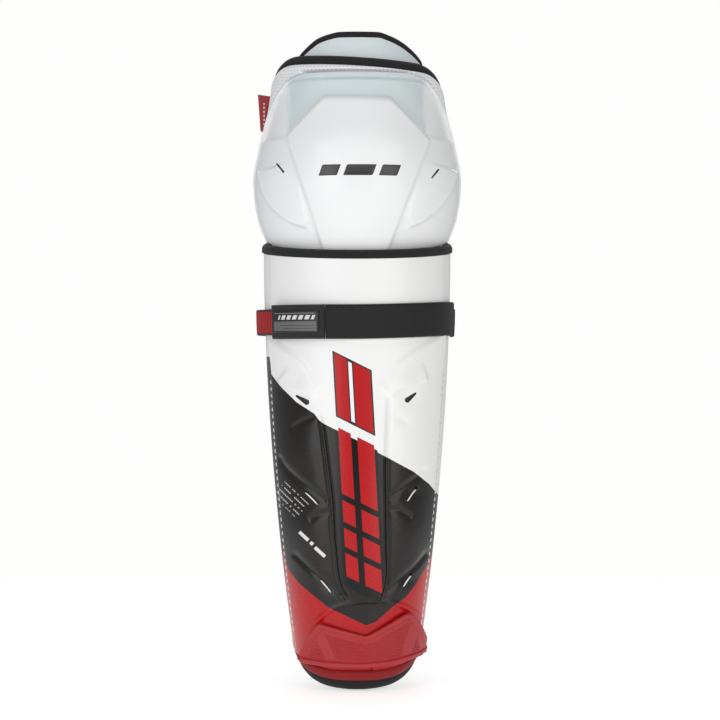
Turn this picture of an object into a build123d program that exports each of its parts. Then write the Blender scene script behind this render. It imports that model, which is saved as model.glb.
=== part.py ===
from build123d import *
import math
import os

# Ice hockey shin guard, size 15 inch (38 cm from knee centre to lower edge). Units are millimetres.
# The leg's axis is Z, with the lowest point of the guard at z = 0. The front faces -Y, +X is the right flank.
# Every layer is a band round the leg: its outline at one height is an ellipse with a half width (X) and a
# front depth (Y), and a layer stands so many millimetres outside (+) or inside (-) the shell's outer face.

# Shin: half width and front depth of the shell's outer face, at the top, and how much less at the bottom
SHIN_HEIGHT = 330.0
SHIN_HALF_WIDTH, SHIN_WIDTH_LOSS, SHIN_WIDTH_POWER = 72.0, 26.5, 1.85
SHIN_DEPTH, SHIN_DEPTH_LOSS, SHIN_DEPTH_POWER = 74.0, 20.0, 1.6
REAR_REACH = 1.12  # the ring reaches this much further behind the leg axis than in front of it
FLANK = 97.0  # degrees round from the front where the hard shell ends

# Knee cup: (height, half width, front depth, degrees round to which the hard shell reaches)
KNEE_RINGS = [
    (298, 59.5, 59.0, 92),
    (312, 61.0, 61.5, 92),
    (325, 63.5, 64.5, 92),
    (337, 69.0, 70.0, 92),
    (352, 74.5, 77.0, 92),
    (381, 78.0, 84.0, 91),
    (406, 74.0, 81.5, 84),
    (426, 70.0, 75.5, 76),
    (444, 67.0, 69.0, 64),
    (460, 65.0, 63.5, 52),
    (474, 63.0, 58.5, 46),
]
KNEE_TOP, KNEE_TOP_DROP = 464.8, 20.0  # the pad's top edge in front, and how far it drops to the rear
TOP_TILT = 2.6  # degrees: the top edge is higher on the left

# Lower edge: it sweeps up from the instep towards the calf
EDGE_FRONT, EDGE_REACH, EDGE_RISE, EDGE_POWER = -54.0, 60.0, 18.0, 1.2
BINDING_HEIGHT = 7.5
BUMPER_TOP = 16.0
# Upper edge of the shin section: a plane that is lower in front
RIM_HEIGHT, RIM_RISE = 326.0, 8.0
RIM_BINDING = 6.0

# Layer thicknesses
SHELL, FOAM, FOAM_AT_RIM, GLUE = 3.0, 7.3, 3.2, 0.2
KNEE_SHELL, KNEE_PAD = 2.5, 8.0
LINER_BASE, LINER_PAD, PATCH = 3.0, 8.0, 1.0
WING, WING_INSET, WING_START, WING_END = 9.0, 1.0, 101.0, 137.0
PAD_REACH = 104.0
FLAP_OUTER, FLAP_THICK = -11.8, 5.0

# Straps: a 25 mm elastic below the knee and a 30 mm one above the ankle
STRAP_LOW, STRAP_WIDTH, STRAP_THICK = 261.0, 25.4, 1.8
ELASTIC_LOW, ELASTIC_WIDTH, ELASTIC_THICK = 264.0, 19.5, 1.6
LOWER_STRAP_LOW, LOWER_STRAP_WIDTH = 74.0, 30.0
TAB_START, TAB_END = -57.0, -18.2  # degrees round from the front
TAB_STAND = 3.7
STRAP_END = 84.0
REAR_TAB_START = 86.5

STEP_DEG = 9.0  # spacing of the points that an outline is drawn through
FAR = 300.0


# ---------------------------------------------------------------- outlines
def shin_ring(z):
    """Half width and front depth of the shin shell's outer face at a height."""
    below = min(max(1 - z / SHIN_HEIGHT, 0.0), 1.05)
    return (
        SHIN_HALF_WIDTH - SHIN_WIDTH_LOSS * below**SHIN_WIDTH_POWER,
        SHIN_DEPTH - SHIN_DEPTH_LOSS * below**SHIN_DEPTH_POWER,
    )


def knee_ring(z):
    """Half width and front depth of the knee shell's outer face, straight between its rings."""
    for (z0, a0, b0, _), (z1, a1, b1, _) in zip(KNEE_RINGS, KNEE_RINGS[1:]):
        if z <= z1:
            share = (z - z0) / (z1 - z0)
            return a0 + (a1 - a0) * share, b0 + (b1 - b0) * share
    return KNEE_RINGS[-1][1:3]


def smooth(x):
    """0 below 0, 1 above 1 and an S curve between."""
    x = min(max(x, 0.0), 1.0)
    return x * x * (3 - 2 * x)


def ring_point(ring, z, degrees, stand=0.0):
    """A point so many degrees round from the front, standing off the shell's outer face."""
    half_width, depth = ring(z)
    turn = math.radians(degrees)
    ahead = math.cos(turn)
    reach = (depth + stand) * (1.0 if ahead > 0 else REAR_REACH)
    return Vector((half_width + stand) * math.sin(turn), -reach * ahead, z)


def at(value, degrees):
    """A stand-off is a number or a function of the angle."""
    return value(degrees) if callable(value) else value


def band_wire(ring, z, outer, inner, start, end):
    """The closed outline of a band at one height."""
    count = max(3, round(abs(end - start) / STEP_DEG) + 1)
    turns = [start + (end - start) * i / (count - 1) for i in range(count)]
    outside = [ring_point(ring, z, t, at(outer, t)) for t in turns]
    inside = [ring_point(ring, z, t, at(inner, t)) for t in reversed(turns)]
    return Wire(
        [
            Edge.make_spline(outside),
            Edge.make_line(outside[-1], inside[0]),
            Edge.make_spline(inside),
            Edge.make_line(inside[-1], outside[0]),
        ]
    )


def band(ring, heights, outer, inner, start, end):
    """A solid band round the leg, lofted through outlines at these heights. Values may be functions of height."""

    def of_height(value, z):
        return value[0](z) if isinstance(value, tuple) else value

    wires = [
        band_wire(ring, z, of_height(outer, z), of_height(inner, z), of_height(start, z), of_height(end, z))
        for z in heights
    ]
    return Solid.make_loft(wires, ruled=len(wires) == 2)


def mirrored(shape):
    return mirror(shape, about=Plane.YZ)


# ---------------------------------------------------------------- cutters
def side_region(profile, down):
    """Everything below (or above) a profile z(y), as a prism along X."""
    ys = [-110, -85, -60, -50, -35, -10, 20, 60, 110]
    points = [(y, profile(y)) for y in ys]
    far = -FAR if down else 2 * FAR
    edge = Spline(*points)
    close = Polyline(points[-1], (points[-1][0], far), (points[0][0], far), points[0])
    return extrude(Plane.YZ * make_face([edge, close]), amount=FAR, both=True)


def lower_edge(y):
    return EDGE_RISE * max(0.0, (y - EDGE_FRONT) / EDGE_REACH) ** EDGE_POWER


def below_edge(rise):
    """The space below the guard's lower edge, raised by so much."""
    return side_region(lambda y: lower_edge(y) + rise, down=True)


def rim_height(y):
    return RIM_HEIGHT + RIM_RISE * (y + SHIN_DEPTH) / SHIN_DEPTH


def above_rim(rise):
    """The space above the shin section's sloping rim, raised by so much."""
    points = [(y, rim_height(y) + rise) for y in (-110, 110)]
    corners = Polyline(*points, (110, 2 * FAR), (-110, 2 * FAR), points[0])
    return extrude(Plane.YZ * make_face(corners), amount=FAR, both=True)


def knee_top(y):
    return KNEE_TOP - KNEE_TOP_DROP * smooth((y + 38) / 64)


def above_knee_top(rise):
    """The space above the knee pad's top edge, raised by so much and tilted to the left."""
    region = side_region(lambda y: knee_top(y) + rise, down=False)
    return Pos(0, 0, KNEE_TOP) * Rot(0, TOP_TILT, 0) * Pos(0, 0, -KNEE_TOP) * region


def front_prism(points, radius=0.0):
    """A prism along Y in front of the leg axis, from an outline of (x, z) points."""
    outline = Polyline(*points, points[0])
    face = make_face(outline)
    if radius:
        face = fillet(face.vertices(), radius)
    return extrude(Plane.XZ * face, amount=FAR, dir=(0, -1, 0))


def side_prism(points, radius):
    """A prism along X, from an outline of (y, z) points with rounded corners."""
    face = fillet(make_face(Polyline(*points, points[0])).vertices(), radius)
    return extrude(Plane.YZ * face, amount=FAR, both=True)


def slot(x, z, length, width, degrees):
    """A round-ended slot cut from the front."""
    face = Plane.XZ * Pos(x, z) * Rot(0, 0, degrees) * SlotOverall(length, width)
    return extrude(face, amount=FAR, dir=(0, -1, 0))


def heights(low, high, count):
    return [low + (high - low) * i / (count - 1) for i in range(count)]


def save(node, shape):
    solids = shape if isinstance(shape, list) else shape.solids()
    shape = solids[0] if len(solids) == 1 else Compound(children=list(solids))
    shape.label = node
    export_step(shape, f"parts/{node}.step")
    print(f"{node:24s} solids {len(solids)} volume {sum(s.volume for s in solids) / 1000:8.2f} cm3")


# ---------------------------------------------------------------- shin section
VENTS = [(-40.5, 216, 10, 4, -32), (39.5, 217.5, 10, 4, 38), (-34, 144.5, 11, 3, -44), (39.5, 147, 11, 3, 50)]
VENTS += [(-24, 79, 10, 3, -50), (37, 81.5, 9.5, 3, 51)]


def shin_shell():
    solid = band(shin_ring, heights(0, 345, 8), 0, -SHELL, -FLANK, FLANK)
    solid -= below_edge(BUMPER_TOP - 1)
    solid -= above_rim(-RIM_BINDING + 0.5)
    for vent in VENTS:
        solid -= slot(*vent)
    return solid


def foam_back(z):
    """The foam is thin at the rim, where the knee cup slides behind it."""
    return -(SHELL + GLUE + FOAM_AT_RIM + (FOAM - FOAM_AT_RIM) * smooth((305 - z) / 25))


def shin_foam():
    stations = [0, 60, 120, 180, 240, 278, 288, 298, 308, 325, 345]
    solid = band(shin_ring, stations, -SHELL - GLUE, (foam_back,), -FLANK + 1, FLANK - 1)
    solid -= below_edge(BUMPER_TOP + 0.3)
    return solid - above_rim(-RIM_BINDING - 0.3)


def rim_binding():
    """Tape folded over the top edge of shell and foam."""
    inside = -(SHELL + GLUE + FOAM_AT_RIM + 0.6)
    solid = band(shin_ring, heights(300, 350, 3), 0.9, inside, -FLANK - 1, FLANK + 1)
    solid -= above_rim(0)
    return solid & above_rim(-RIM_BINDING + 0.7)


def bumper():
    """Soft foam roll between the shell's lower edge and the binding."""
    solid = band(shin_ring, heights(-10, 60, 4), -0.6, -SHELL - GLUE - FOAM, -88, 88)
    solid -= below_edge(BINDING_HEIGHT + 0.2)
    return solid & below_edge(BUMPER_TOP - 1.3)


def bottom_binding():
    solid = band(shin_ring, heights(-20, 60, 4), 0, -SHELL - GLUE - FOAM - 0.6, -FLANK, FLANK)
    solid -= below_edge(0)
    return solid & below_edge(BINDING_HEIGHT)


CAP_OUTLINE = [(-42.5, 18), (-41, 26), (-37.5, 35), (-27.5, 50), (5, 42), (37.5, 57), (50, 41)]
CAP_OUTLINE += [(51.5, 28), (46, 22), (24, 17.2), (5, 15.5), (-20, 16)]


def toe_cap():
    """Rubber cap over the lower front edge, with a notch between two horns."""
    solid = band(shin_ring, heights(-5, 75, 4), 3.6, 0.3, -88, 88)
    return solid & front_prism(CAP_OUTLINE, radius=1.5)


def anchor_stand(degrees):
    """The elastic leaves the shell as it comes round the left flank."""
    return 0.6 + 3.4 * smooth((abs(degrees) - 62) / 25)


def strap_heights(low, width):
    return [low, low + width]


def elastic(start, end, low=ELASTIC_LOW, width=ELASTIC_WIDTH, stand=anchor_stand, thick=ELASTIC_THICK):
    return band(shin_ring, strap_heights(low, width), lambda t: at(stand, t) + thick, stand, start, end)


def strap_anchor():
    return elastic(-FLANK, -40)


def flank_loop_patch():
    """Loop tape on the shell's right flank, which the rear strap's end tab grips."""
    return band(shin_ring, strap_heights(ELASTIC_LOW, ELASTIC_WIDTH), 0.6, 0.1, REAR_TAB_START, FLANK - 0.5)


def liner_hook_patches():
    low = -SHELL - GLUE - FOAM - 0.1
    spots = [(z, turn) for z in (48, 236) for turn in (-34, 34)]
    return [
        band(shin_ring, [z, z + 22], low, low - PATCH, turn - 9, turn + 9) for z, turn in spots
    ]


def knee_gusset():
    """Elastic web inside the right flank that ties the knee section to the shin section."""
    stations = [264, 290, 308, 351]
    stand = [-10.7, -10.9, -12.6, -13.5]
    wires = [
        band_wire(shin_ring, z, off, off - 1.5, 89.5, 101) for z, off in zip(stations, stand)
    ]
    return Solid.make_loft(wires, ruled=True)


INSIDE = -(SHELL + GLUE + FOAM)


def lower_anchor():
    """Sewn end of the lower strap, on the inside of the left flank."""
    return band(
        shin_ring, strap_heights(LOWER_STRAP_LOW, LOWER_STRAP_WIDTH), INSIDE - 0.1, INSIDE - 1.7, -FLANK + 1, -80
    )


def lower_loop_patch():
    """Loop tape inside the right flank, which the lower strap's end tab grips."""
    low, high = strap_heights(LOWER_STRAP_LOW, LOWER_STRAP_WIDTH)
    return band(shin_ring, [low, high], INSIDE - 0.1, INSIDE - 0.6, 79, FLANK - 1.5)


# ---------------------------------------------------------------- calf wings
WING_OUTLINE = [(4, 124), (28, 127), (47, 142), (59, 190), (64, 250), (58, 303), (46, 316), (4, 320)]
WING_INNER_OUTLINE = [(-8, 129), (26, 132), (42.5, 145), (54, 191), (59, 250), (53.5, 300), (43, 311), (-8, 315)]


def wing_band(outer, inner):
    return band(shin_ring, heights(110, 330, 5), outer, inner, WING_START, WING_END + 10)


def wing():
    """Soft calf wing on the right, sewn along the shell's flank."""
    return wing_band(-WING_INSET - 0.4, -WING_INSET - WING + 0.4) & side_prism(WING_INNER_OUTLINE, 4)


def wing_binding():
    """Tape round the wing's free edges."""
    rim = wing_band(-WING_INSET, -WING_INSET - WING) & side_prism(WING_OUTLINE, 4)
    return rim - side_prism(WING_INNER_OUTLINE, 3.9)


# ---------------------------------------------------------------- upper strap
def front_stand(degrees):
    """The front strap drops from the tab's seam down to the shell."""
    return 0.9 + (TAB_STAND - 0.9) * smooth((2 - degrees) / 22)


def front_strap():
    return elastic(TAB_END + 0.8, STRAP_END, STRAP_LOW, STRAP_WIDTH, front_stand, STRAP_THICK)


def strap_tab():
    low, width = strap_heights(STRAP_LOW, STRAP_WIDTH)
    return band(shin_ring, [low, width], TAB_STAND + STRAP_THICK, TAB_STAND, TAB_START, TAB_END)


def strap_label():
    """Moulded rubber label on the tab."""
    face = TAB_STAND + STRAP_THICK + 0.05
    return band(shin_ring, [STRAP_LOW + 4, STRAP_LOW + STRAP_WIDTH - 4.5], face + 0.8, face, -54, -21.5)


def tab_hook_patch():
    face = TAB_STAND - 0.05
    return band(shin_ring, [STRAP_LOW + 3.5, STRAP_LOW + STRAP_WIDTH - 3.5], face, face - PATCH, -55, -39)


def rear_stand(degrees):
    """The slack rear strap stands well clear of the wings, so that they can flex."""
    behind = 180 - abs(180 - degrees % 360)
    flank = 4.0 if degrees > 180 else 1.8
    return flank + (18.5 - flank) * smooth((behind - 96) / 62)


def rear_strap():
    """Elastic from the left flank round behind the calf to the right flank."""
    return elastic(FLANK + 8, 360 - FLANK - 0.6, stand=rear_stand)


def rear_strap_tab():
    return elastic(REAR_TAB_START, FLANK + 7.5, ELASTIC_LOW - 1, ELASTIC_WIDTH + 2, rear_stand, 1.5)


def rear_hook_patch():
    return elastic(REAR_TAB_START + 0.3, FLANK - 2, stand=0.95, thick=0.6)


# ---------------------------------------------------------------- lower strap
def lower_stand(degrees):
    """From the insides of the flanks out to a slack bow behind the ankle."""
    behind = 180 - abs(180 - degrees % 360)
    return INSIDE - 1.8 + 14 * smooth((behind - 92) / 80)


def lower_tab_stand(degrees):
    return lower_stand(degrees) - 1.7


def lower_strap():
    return elastic(
        FLANK + 4, 360 - FLANK - 0.6, LOWER_STRAP_LOW, LOWER_STRAP_WIDTH, lower_tab_stand, ELASTIC_THICK
    )


def lower_tab():
    return elastic(82, FLANK + 3.5, LOWER_STRAP_LOW - 0.5, LOWER_STRAP_WIDTH + 1, lower_tab_stand, 1.2)


def lower_hook_patch():
    return elastic(
        82.5, FLANK - 2, LOWER_STRAP_LOW + 2, LOWER_STRAP_WIDTH - 4, stand=INSIDE - 1.7, thick=0.7
    )


# ---------------------------------------------------------------- removable liner
LINER_OUTER = -(SHELL + GLUE + FOAM + 0.1 + 2 * PATCH + 0.4)
LINER_LOW, LINER_HIGH, LINER_REACH = 14.0, 291.0, 60.0
LINER_PADS = {"liner_pad_left": (-56, -22), "liner_pad_middle": (-18, 18), "liner_pad_right": (22, 56)}


def liner_base():
    solid = band(
        shin_ring, heights(0, 300, 6), LINER_OUTER, LINER_OUTER - LINER_BASE, -LINER_REACH, LINER_REACH
    )
    outline = [(-52, LINER_LOW + 18), (-30, LINER_LOW), (30, LINER_LOW), (52, LINER_LOW + 18)]
    outline += [(62, LINER_HIGH - 30), (48, LINER_HIGH), (-48, LINER_HIGH), (-62, LINER_HIGH - 30)]
    return solid & front_prism(outline, radius=8)


def liner_pad(start, end):
    """One vertical foam rib of the liner, in three blocks."""
    top = LINER_OUTER - LINER_BASE - 0.1
    blocks = [(40, 112), (117, 194), (199, 276)]
    return [
        band(shin_ring, heights(low, high, 3), top, top - LINER_PAD, start, end) for low, high in blocks
    ]


def liner_loop_patches():
    spots = [(z, turn) for z in (48, 236) for turn in (-34, 34)]
    face = LINER_OUTER + 0.1
    return [
        band(shin_ring, [z + 1, z + 21], face + PATCH, face, turn - 8, turn + 8) for z, turn in spots
    ]


# ---------------------------------------------------------------- knee section
def knee_band(outer, inner, start, end, rings=KNEE_RINGS):
    """A band through the knee's rings; start and end are degrees, or None for the shell's own reach."""
    wires = []
    for z, _, _, reach in rings:
        first = -reach if start is None else start
        last = reach if end is None else end
        wires.append(band_wire(knee_ring, z, outer, inner, first, last))
    return Solid.make_loft(wires, ruled=False)


SKIRT_HALF, SKIRT_LOW = 44.0, 308.0


def knee_shell():
    """Hard knee cup. Below the rim only a lobe in the middle goes on down behind the shin section."""
    solid = knee_band(0, -KNEE_SHELL, None, None)
    solid -= above_knee_top(-6.5)
    corner_outline = [(SKIRT_HALF, 200), (FAR, 200), (FAR, 345), (SKIRT_HALF, 345)]
    face = make_face(Polyline(*corner_outline, corner_outline[0]))
    corner = extrude(Plane.XZ * face, amount=FAR, both=True) - above_rim(1.8)
    solid -= corner
    solid -= mirrored(corner)
    solid -= Box(FAR, FAR, FAR).locate(Location((0, 0, SKIRT_LOW - FAR / 2)))
    solid -= slot(-57.5, 387.5, 9, 1.6, -52)
    return solid - slot(57.5, 383, 9, 1.6, 50)


def knee_skirt():
    """Mesh skirt below the pad, which slides inside the shin section as the knee bends."""
    rings = [(307, 61.0, 53.4), (325, 63.2, 58.4), (338.8, 64.6, 65.6)]
    wires = [
        band_wire(lambda _, a=a, b=b: (a, b), z, 0, -1.6, -87, 87) for z, a, b in rings
    ]
    return Solid.make_loft(wires, ruled=True)


PAD_SIDE = [(-110, 339), (-4, 339), (40, 362), (40, 520), (-110, 520)]


def knee_pad():
    """Mesh-covered foam pad that carries the knee shell and wraps round both sides of the knee."""
    solid = knee_band(-KNEE_SHELL - GLUE, -KNEE_SHELL - GLUE - KNEE_PAD, -PAD_REACH, PAD_REACH)
    # its lower edge rises behind the leg axis, clear of the wings
    return (solid & side_prism(PAD_SIDE, 3)) - above_knee_top(0)


def knee_binding():
    """Tape folded over the pad's top edge."""
    rings = [(z, a, b, r) for z, a, b, r in KNEE_RINGS if z > 400] + [(486, 61.5, 55.0, 46)]
    outer, inner = -KNEE_SHELL + 0.9, -KNEE_SHELL - GLUE - KNEE_PAD - 0.7
    solid = knee_band(outer, inner, -PAD_REACH + 5, PAD_REACH - 5, rings)
    return (solid & above_knee_top(0.1)) - above_knee_top(6.2)


def knee_ring_pad():
    """Liner pad behind the cup, with an oval well for the kneecap."""
    outer = -KNEE_SHELL - GLUE - KNEE_PAD - 0.3
    solid = knee_band(outer, outer - 9, -50, 50)
    solid &= front_prism([(-52, 344), (52, 344), (52, 412), (-52, 412)], radius=14)
    well = extrude(Plane.XZ * Pos(0, 381) * Ellipse(24, 22), amount=FAR, dir=(0, -1, 0))
    return solid - well


def side_label():
    """Folded woven label sewn to the left side of the pad."""
    outline = [(-74.2, 444), (-65.0, 442.5), (-67.5, 428), (-70.0, 417), (-73.2, 415.5)]
    face = make_face(Polyline(*outline, outline[0]))
    return Pos(0, 3, 0) * extrude(Plane.XZ * face, amount=1.2, dir=(0, -1, 0))


# ---------------------------------------------------------------- thigh flap
FLAP_OUTLINE = [(-46, 424), (46, 424), (53, 446), (50, 470), (29, 491.5), (-24, 491.5), (-43, 474), (-51, 450)]


def flap_band(outer, inner):
    rings = [(z, a, b, r) for z, a, b, r in KNEE_RINGS if z > 400] + [(500, 60.0, 52.0, 60)]
    wires = [
        band_wire(lambda _, a=a, b=b: (a, b), z, outer, inner, -75, 75) for z, a, b, _ in rings
    ]
    return Solid.make_loft(wires, ruled=False)


def inner_outline(points, border, centre):
    """The outline drawn in towards its centre by about a border's width."""
    cx, cz = centre
    drawn = []
    for x, z in points:
        away = math.hypot(x - cx, z - cz)
        share = (away - border) / away
        drawn.append((cx + (x - cx) * share, cz + (z - cz) * share))
    return drawn


def thigh_flap():
    """Inner flap that stands up behind the pad's front edge."""
    inside = inner_outline(FLAP_OUTLINE, 5, (0, 455))
    return flap_band(FLAP_OUTER - 0.5, FLAP_OUTER - FLAP_THICK + 0.5) & front_prism(inside, radius=4)


def flap_binding():
    inside = inner_outline(FLAP_OUTLINE, 5, (0, 455))
    rim = flap_band(FLAP_OUTER, FLAP_OUTER - FLAP_THICK) & front_prism(FLAP_OUTLINE, radius=7)
    return rim - front_prism(inside, radius=3.8)


NODES = {
    "shin_shell": shin_shell,
    "shin_foam": shin_foam,
    "rim_binding": rim_binding,
    "toe_bumper": bumper,
    "bottom_binding": bottom_binding,
    "toe_cap": toe_cap,
    "strap_anchor": strap_anchor,
    "flank_loop_patch": flank_loop_patch,
    "liner_hook_patches": liner_hook_patches,
    "knee_gusset_right": knee_gusset,
    "knee_gusset_left": lambda: mirrored(knee_gusset()),
    "lower_strap_anchor": lower_anchor,
    "lower_loop_patch": lower_loop_patch,
    "wing_right": wing,
    "wing_left": lambda: mirrored(wing()),
    "wing_binding_right": wing_binding,
    "wing_binding_left": lambda: mirrored(wing_binding()),
    "front_strap": front_strap,
    "strap_tab": strap_tab,
    "strap_label": strap_label,
    "tab_hook_patch": tab_hook_patch,
    "rear_strap": rear_strap,
    "rear_strap_tab": rear_strap_tab,
    "rear_hook_patch": rear_hook_patch,
    "lower_strap": lower_strap,
    "lower_strap_tab": lower_tab,
    "lower_hook_patch": lower_hook_patch,
    "liner_base": liner_base,
    "liner_loop_patches": liner_loop_patches,
    "knee_shell": knee_shell,
    "knee_skirt": knee_skirt,
    "knee_pad": knee_pad,
    "knee_binding": knee_binding,
    "knee_ring_pad": knee_ring_pad,
    "side_label": side_label,
    "thigh_flap": thigh_flap,
    "thigh_flap_binding": flap_binding,
}
for name, (first, last) in LINER_PADS.items():
    NODES[name] = lambda first=first, last=last: liner_pad(first, last)

os.makedirs("parts", exist_ok=True)
for name, make in NODES.items():
    save(name, make())
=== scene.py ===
import bmesh
import bpy
import math
import numpy as np
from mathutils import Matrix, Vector


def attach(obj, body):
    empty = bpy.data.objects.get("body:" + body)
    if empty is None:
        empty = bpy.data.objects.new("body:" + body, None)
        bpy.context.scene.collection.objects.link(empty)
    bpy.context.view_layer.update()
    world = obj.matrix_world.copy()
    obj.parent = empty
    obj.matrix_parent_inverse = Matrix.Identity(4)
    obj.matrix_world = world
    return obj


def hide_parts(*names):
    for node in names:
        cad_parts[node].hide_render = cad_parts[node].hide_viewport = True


# Ice hockey shin guard. Every length below is in millimetres unless it says otherwise; the frame is in metres.
# +Z is up the leg, the front faces -Y and +X is on the right seen from the front. Most pieces are panels laid
# on rings round the leg: a place on one is an angle round from the front, a height and a stand-off.

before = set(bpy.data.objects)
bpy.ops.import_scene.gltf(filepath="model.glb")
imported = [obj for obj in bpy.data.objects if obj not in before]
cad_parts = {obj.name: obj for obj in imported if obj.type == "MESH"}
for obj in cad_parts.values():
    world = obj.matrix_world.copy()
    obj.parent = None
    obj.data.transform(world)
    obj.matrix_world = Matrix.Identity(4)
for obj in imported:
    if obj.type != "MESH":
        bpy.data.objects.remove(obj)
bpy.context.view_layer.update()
MM = 0.001

# ------------------------------------------------------------------ the rings that the CAD solids lie on
SHIN_HEIGHT = 330.0
SHIN_WIDTHS = (72.0, 26.5, 1.85)  # half width at the top, how much less at the bottom, and the power
SHIN_DEPTHS = (74.0, 20.0, 1.6)
REAR_REACH = 1.12
FLANK = 97.0
KNEE_HEIGHTS = [298, 312, 325, 337, 352, 381, 406, 426, 444, 460, 474, 500]
KNEE_WIDTHS = [59.5, 61.0, 63.5, 69.0, 74.5, 78.0, 74.0, 70.0, 67.0, 65.0, 63.0, 60.0]
KNEE_DEPTHS = [59.0, 61.5, 64.5, 70.0, 77.0, 84.0, 81.5, 75.5, 69.0, 63.5, 58.5, 52.0]
SHELL, FOAM, GLUE = 3.0, 7.3, 0.2
KNEE_SHELL, KNEE_PAD = 2.5, 8.0
RIM_HEIGHT, RIM_RISE, RIM_TAPE = 326.0, 8.0, 6.6
KNEE_TOP, KNEE_TOP_DROP, TOP_TILT = 464.8, 20.0, 3.6


def smooth(x):
    x = np.clip(x, 0.0, 1.0)
    return x * x * (3 - 2 * x)


def fade(v, share):
    """0 at both ends of a span from 0 to 1, and 1 from this share of it inwards."""
    return smooth(np.minimum(v, 1 - v) / share)


def pillow(u, v, across, along):
    """The crown of a stuffed panel: 0 round its edges, 1 in its middle."""
    return smooth(np.minimum(np.minimum(u, 1 - u) / across, np.minimum(v, 1 - v) / along))


def bell(distance, width):
    return np.exp(-((distance / width) ** 2))


def through(x, xs, ys):
    """A smooth curve through points, with no overshoot between them."""
    xs, ys = np.asarray(xs, float), np.asarray(ys, float)
    gap = np.diff(xs)
    rate = np.diff(ys) / gap
    slope = np.concatenate([[rate[0]], (rate[1:] + rate[:-1]) / 2, [rate[-1]]])
    for i in range(1, len(xs) - 1):
        if rate[i - 1] * rate[i] <= 0:
            slope[i] = 0
    x = np.clip(x, xs[0], xs[-1])
    i = np.clip(np.searchsorted(xs, x) - 1, 0, len(xs) - 2)
    s = (x - xs[i]) / gap[i]
    return (
        ys[i] * (1 + 2 * s) * (1 - s) ** 2
        + ys[i + 1] * s * s * (3 - 2 * s)
        + slope[i] * gap[i] * s * (1 - s) ** 2
        + slope[i + 1] * gap[i] * s * s * (s - 1)
    )


def shin_ring(z):
    below = np.clip(1 - np.asarray(z, float) / SHIN_HEIGHT, 0, 1.05)
    (a, da, pa), (b, db, pb) = SHIN_WIDTHS, SHIN_DEPTHS
    return a - da * below**pa, b - db * below**pb


def knee_ring(z):
    return through(z, KNEE_HEIGHTS, KNEE_WIDTHS), through(z, KNEE_HEIGHTS, KNEE_DEPTHS)


def turn_at(x, half_width, most=0.97):
    """The angle at which a ring passes this x."""
    return np.degrees(np.arcsin(np.clip(x / half_width, -most, most)))


def place(ring, turn, z, stand):
    """Points at these angles (degrees) and heights, standing off the ring."""
    a, b = ring(z)
    turn = np.radians(turn)
    ahead = np.cos(turn)
    reach = (b + stand) * np.where(ahead > 0, 1.0, REAR_REACH)
    return np.stack([(a + stand) * np.sin(turn), -reach * ahead, z + 0 * turn], -1)


def lower_edge(y):
    return 18.0 * np.maximum(0.0, (y + 54.0) / 60.0) ** 1.2


def rim(y):
    return RIM_HEIGHT + RIM_RISE * (y + SHIN_DEPTHS[0]) / SHIN_DEPTHS[0]


def knee_top(y, x=0.0):
    return KNEE_TOP - KNEE_TOP_DROP * smooth((y + 38) / 64) - x * math.tan(math.radians(TOP_TILT))


# ------------------------------------------------------------------ meshes
def spread(count, edge=0.6):
    """Fractions from 0 to 1, closer together near both ends."""
    s = np.linspace(0, 1, count)
    return (1 - edge) * s + edge * (0.5 - 0.5 * np.cos(np.pi * s))


def grid_of(us, vs):
    return np.meshgrid(us, vs, indexing="ij")


def new_object(name, verts, faces, materials, uvs=None, indices=None, sharp=None):
    mesh = bpy.data.meshes.new(name)
    mesh.from_pydata((np.asarray(verts) * MM).tolist(), [], faces)
    for m in materials:
        mesh.materials.append(m)
    if indices is not None:
        mesh.polygons.foreach_set("material_index", np.asarray(indices, np.int32))
    mesh.polygons.foreach_set("use_smooth", np.ones(len(faces), bool))
    if uvs is not None:
        layer = mesh.uv_layers.new(name="weave")
        loops = np.zeros(len(mesh.loops), np.int32)
        mesh.loops.foreach_get("vertex_index", loops)
        layer.data.foreach_set("uv", (np.asarray(uvs)[loops] * MM).astype(np.float32).ravel())
    mesh.update()
    if sharp:
        mesh.set_sharp_from_angle(angle=math.radians(sharp))
    obj = bpy.data.objects.new(name, mesh)
    bpy.context.scene.collection.objects.link(obj)
    return obj


def run(points, axis):
    """Distance along a grid's rows or columns."""
    step = np.linalg.norm(np.diff(points, axis=axis), axis=-1)
    total = np.cumsum(step, axis=axis)
    start = np.zeros_like(np.take(total, [0], axis=axis))
    return np.concatenate([start, total], axis=axis)


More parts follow.
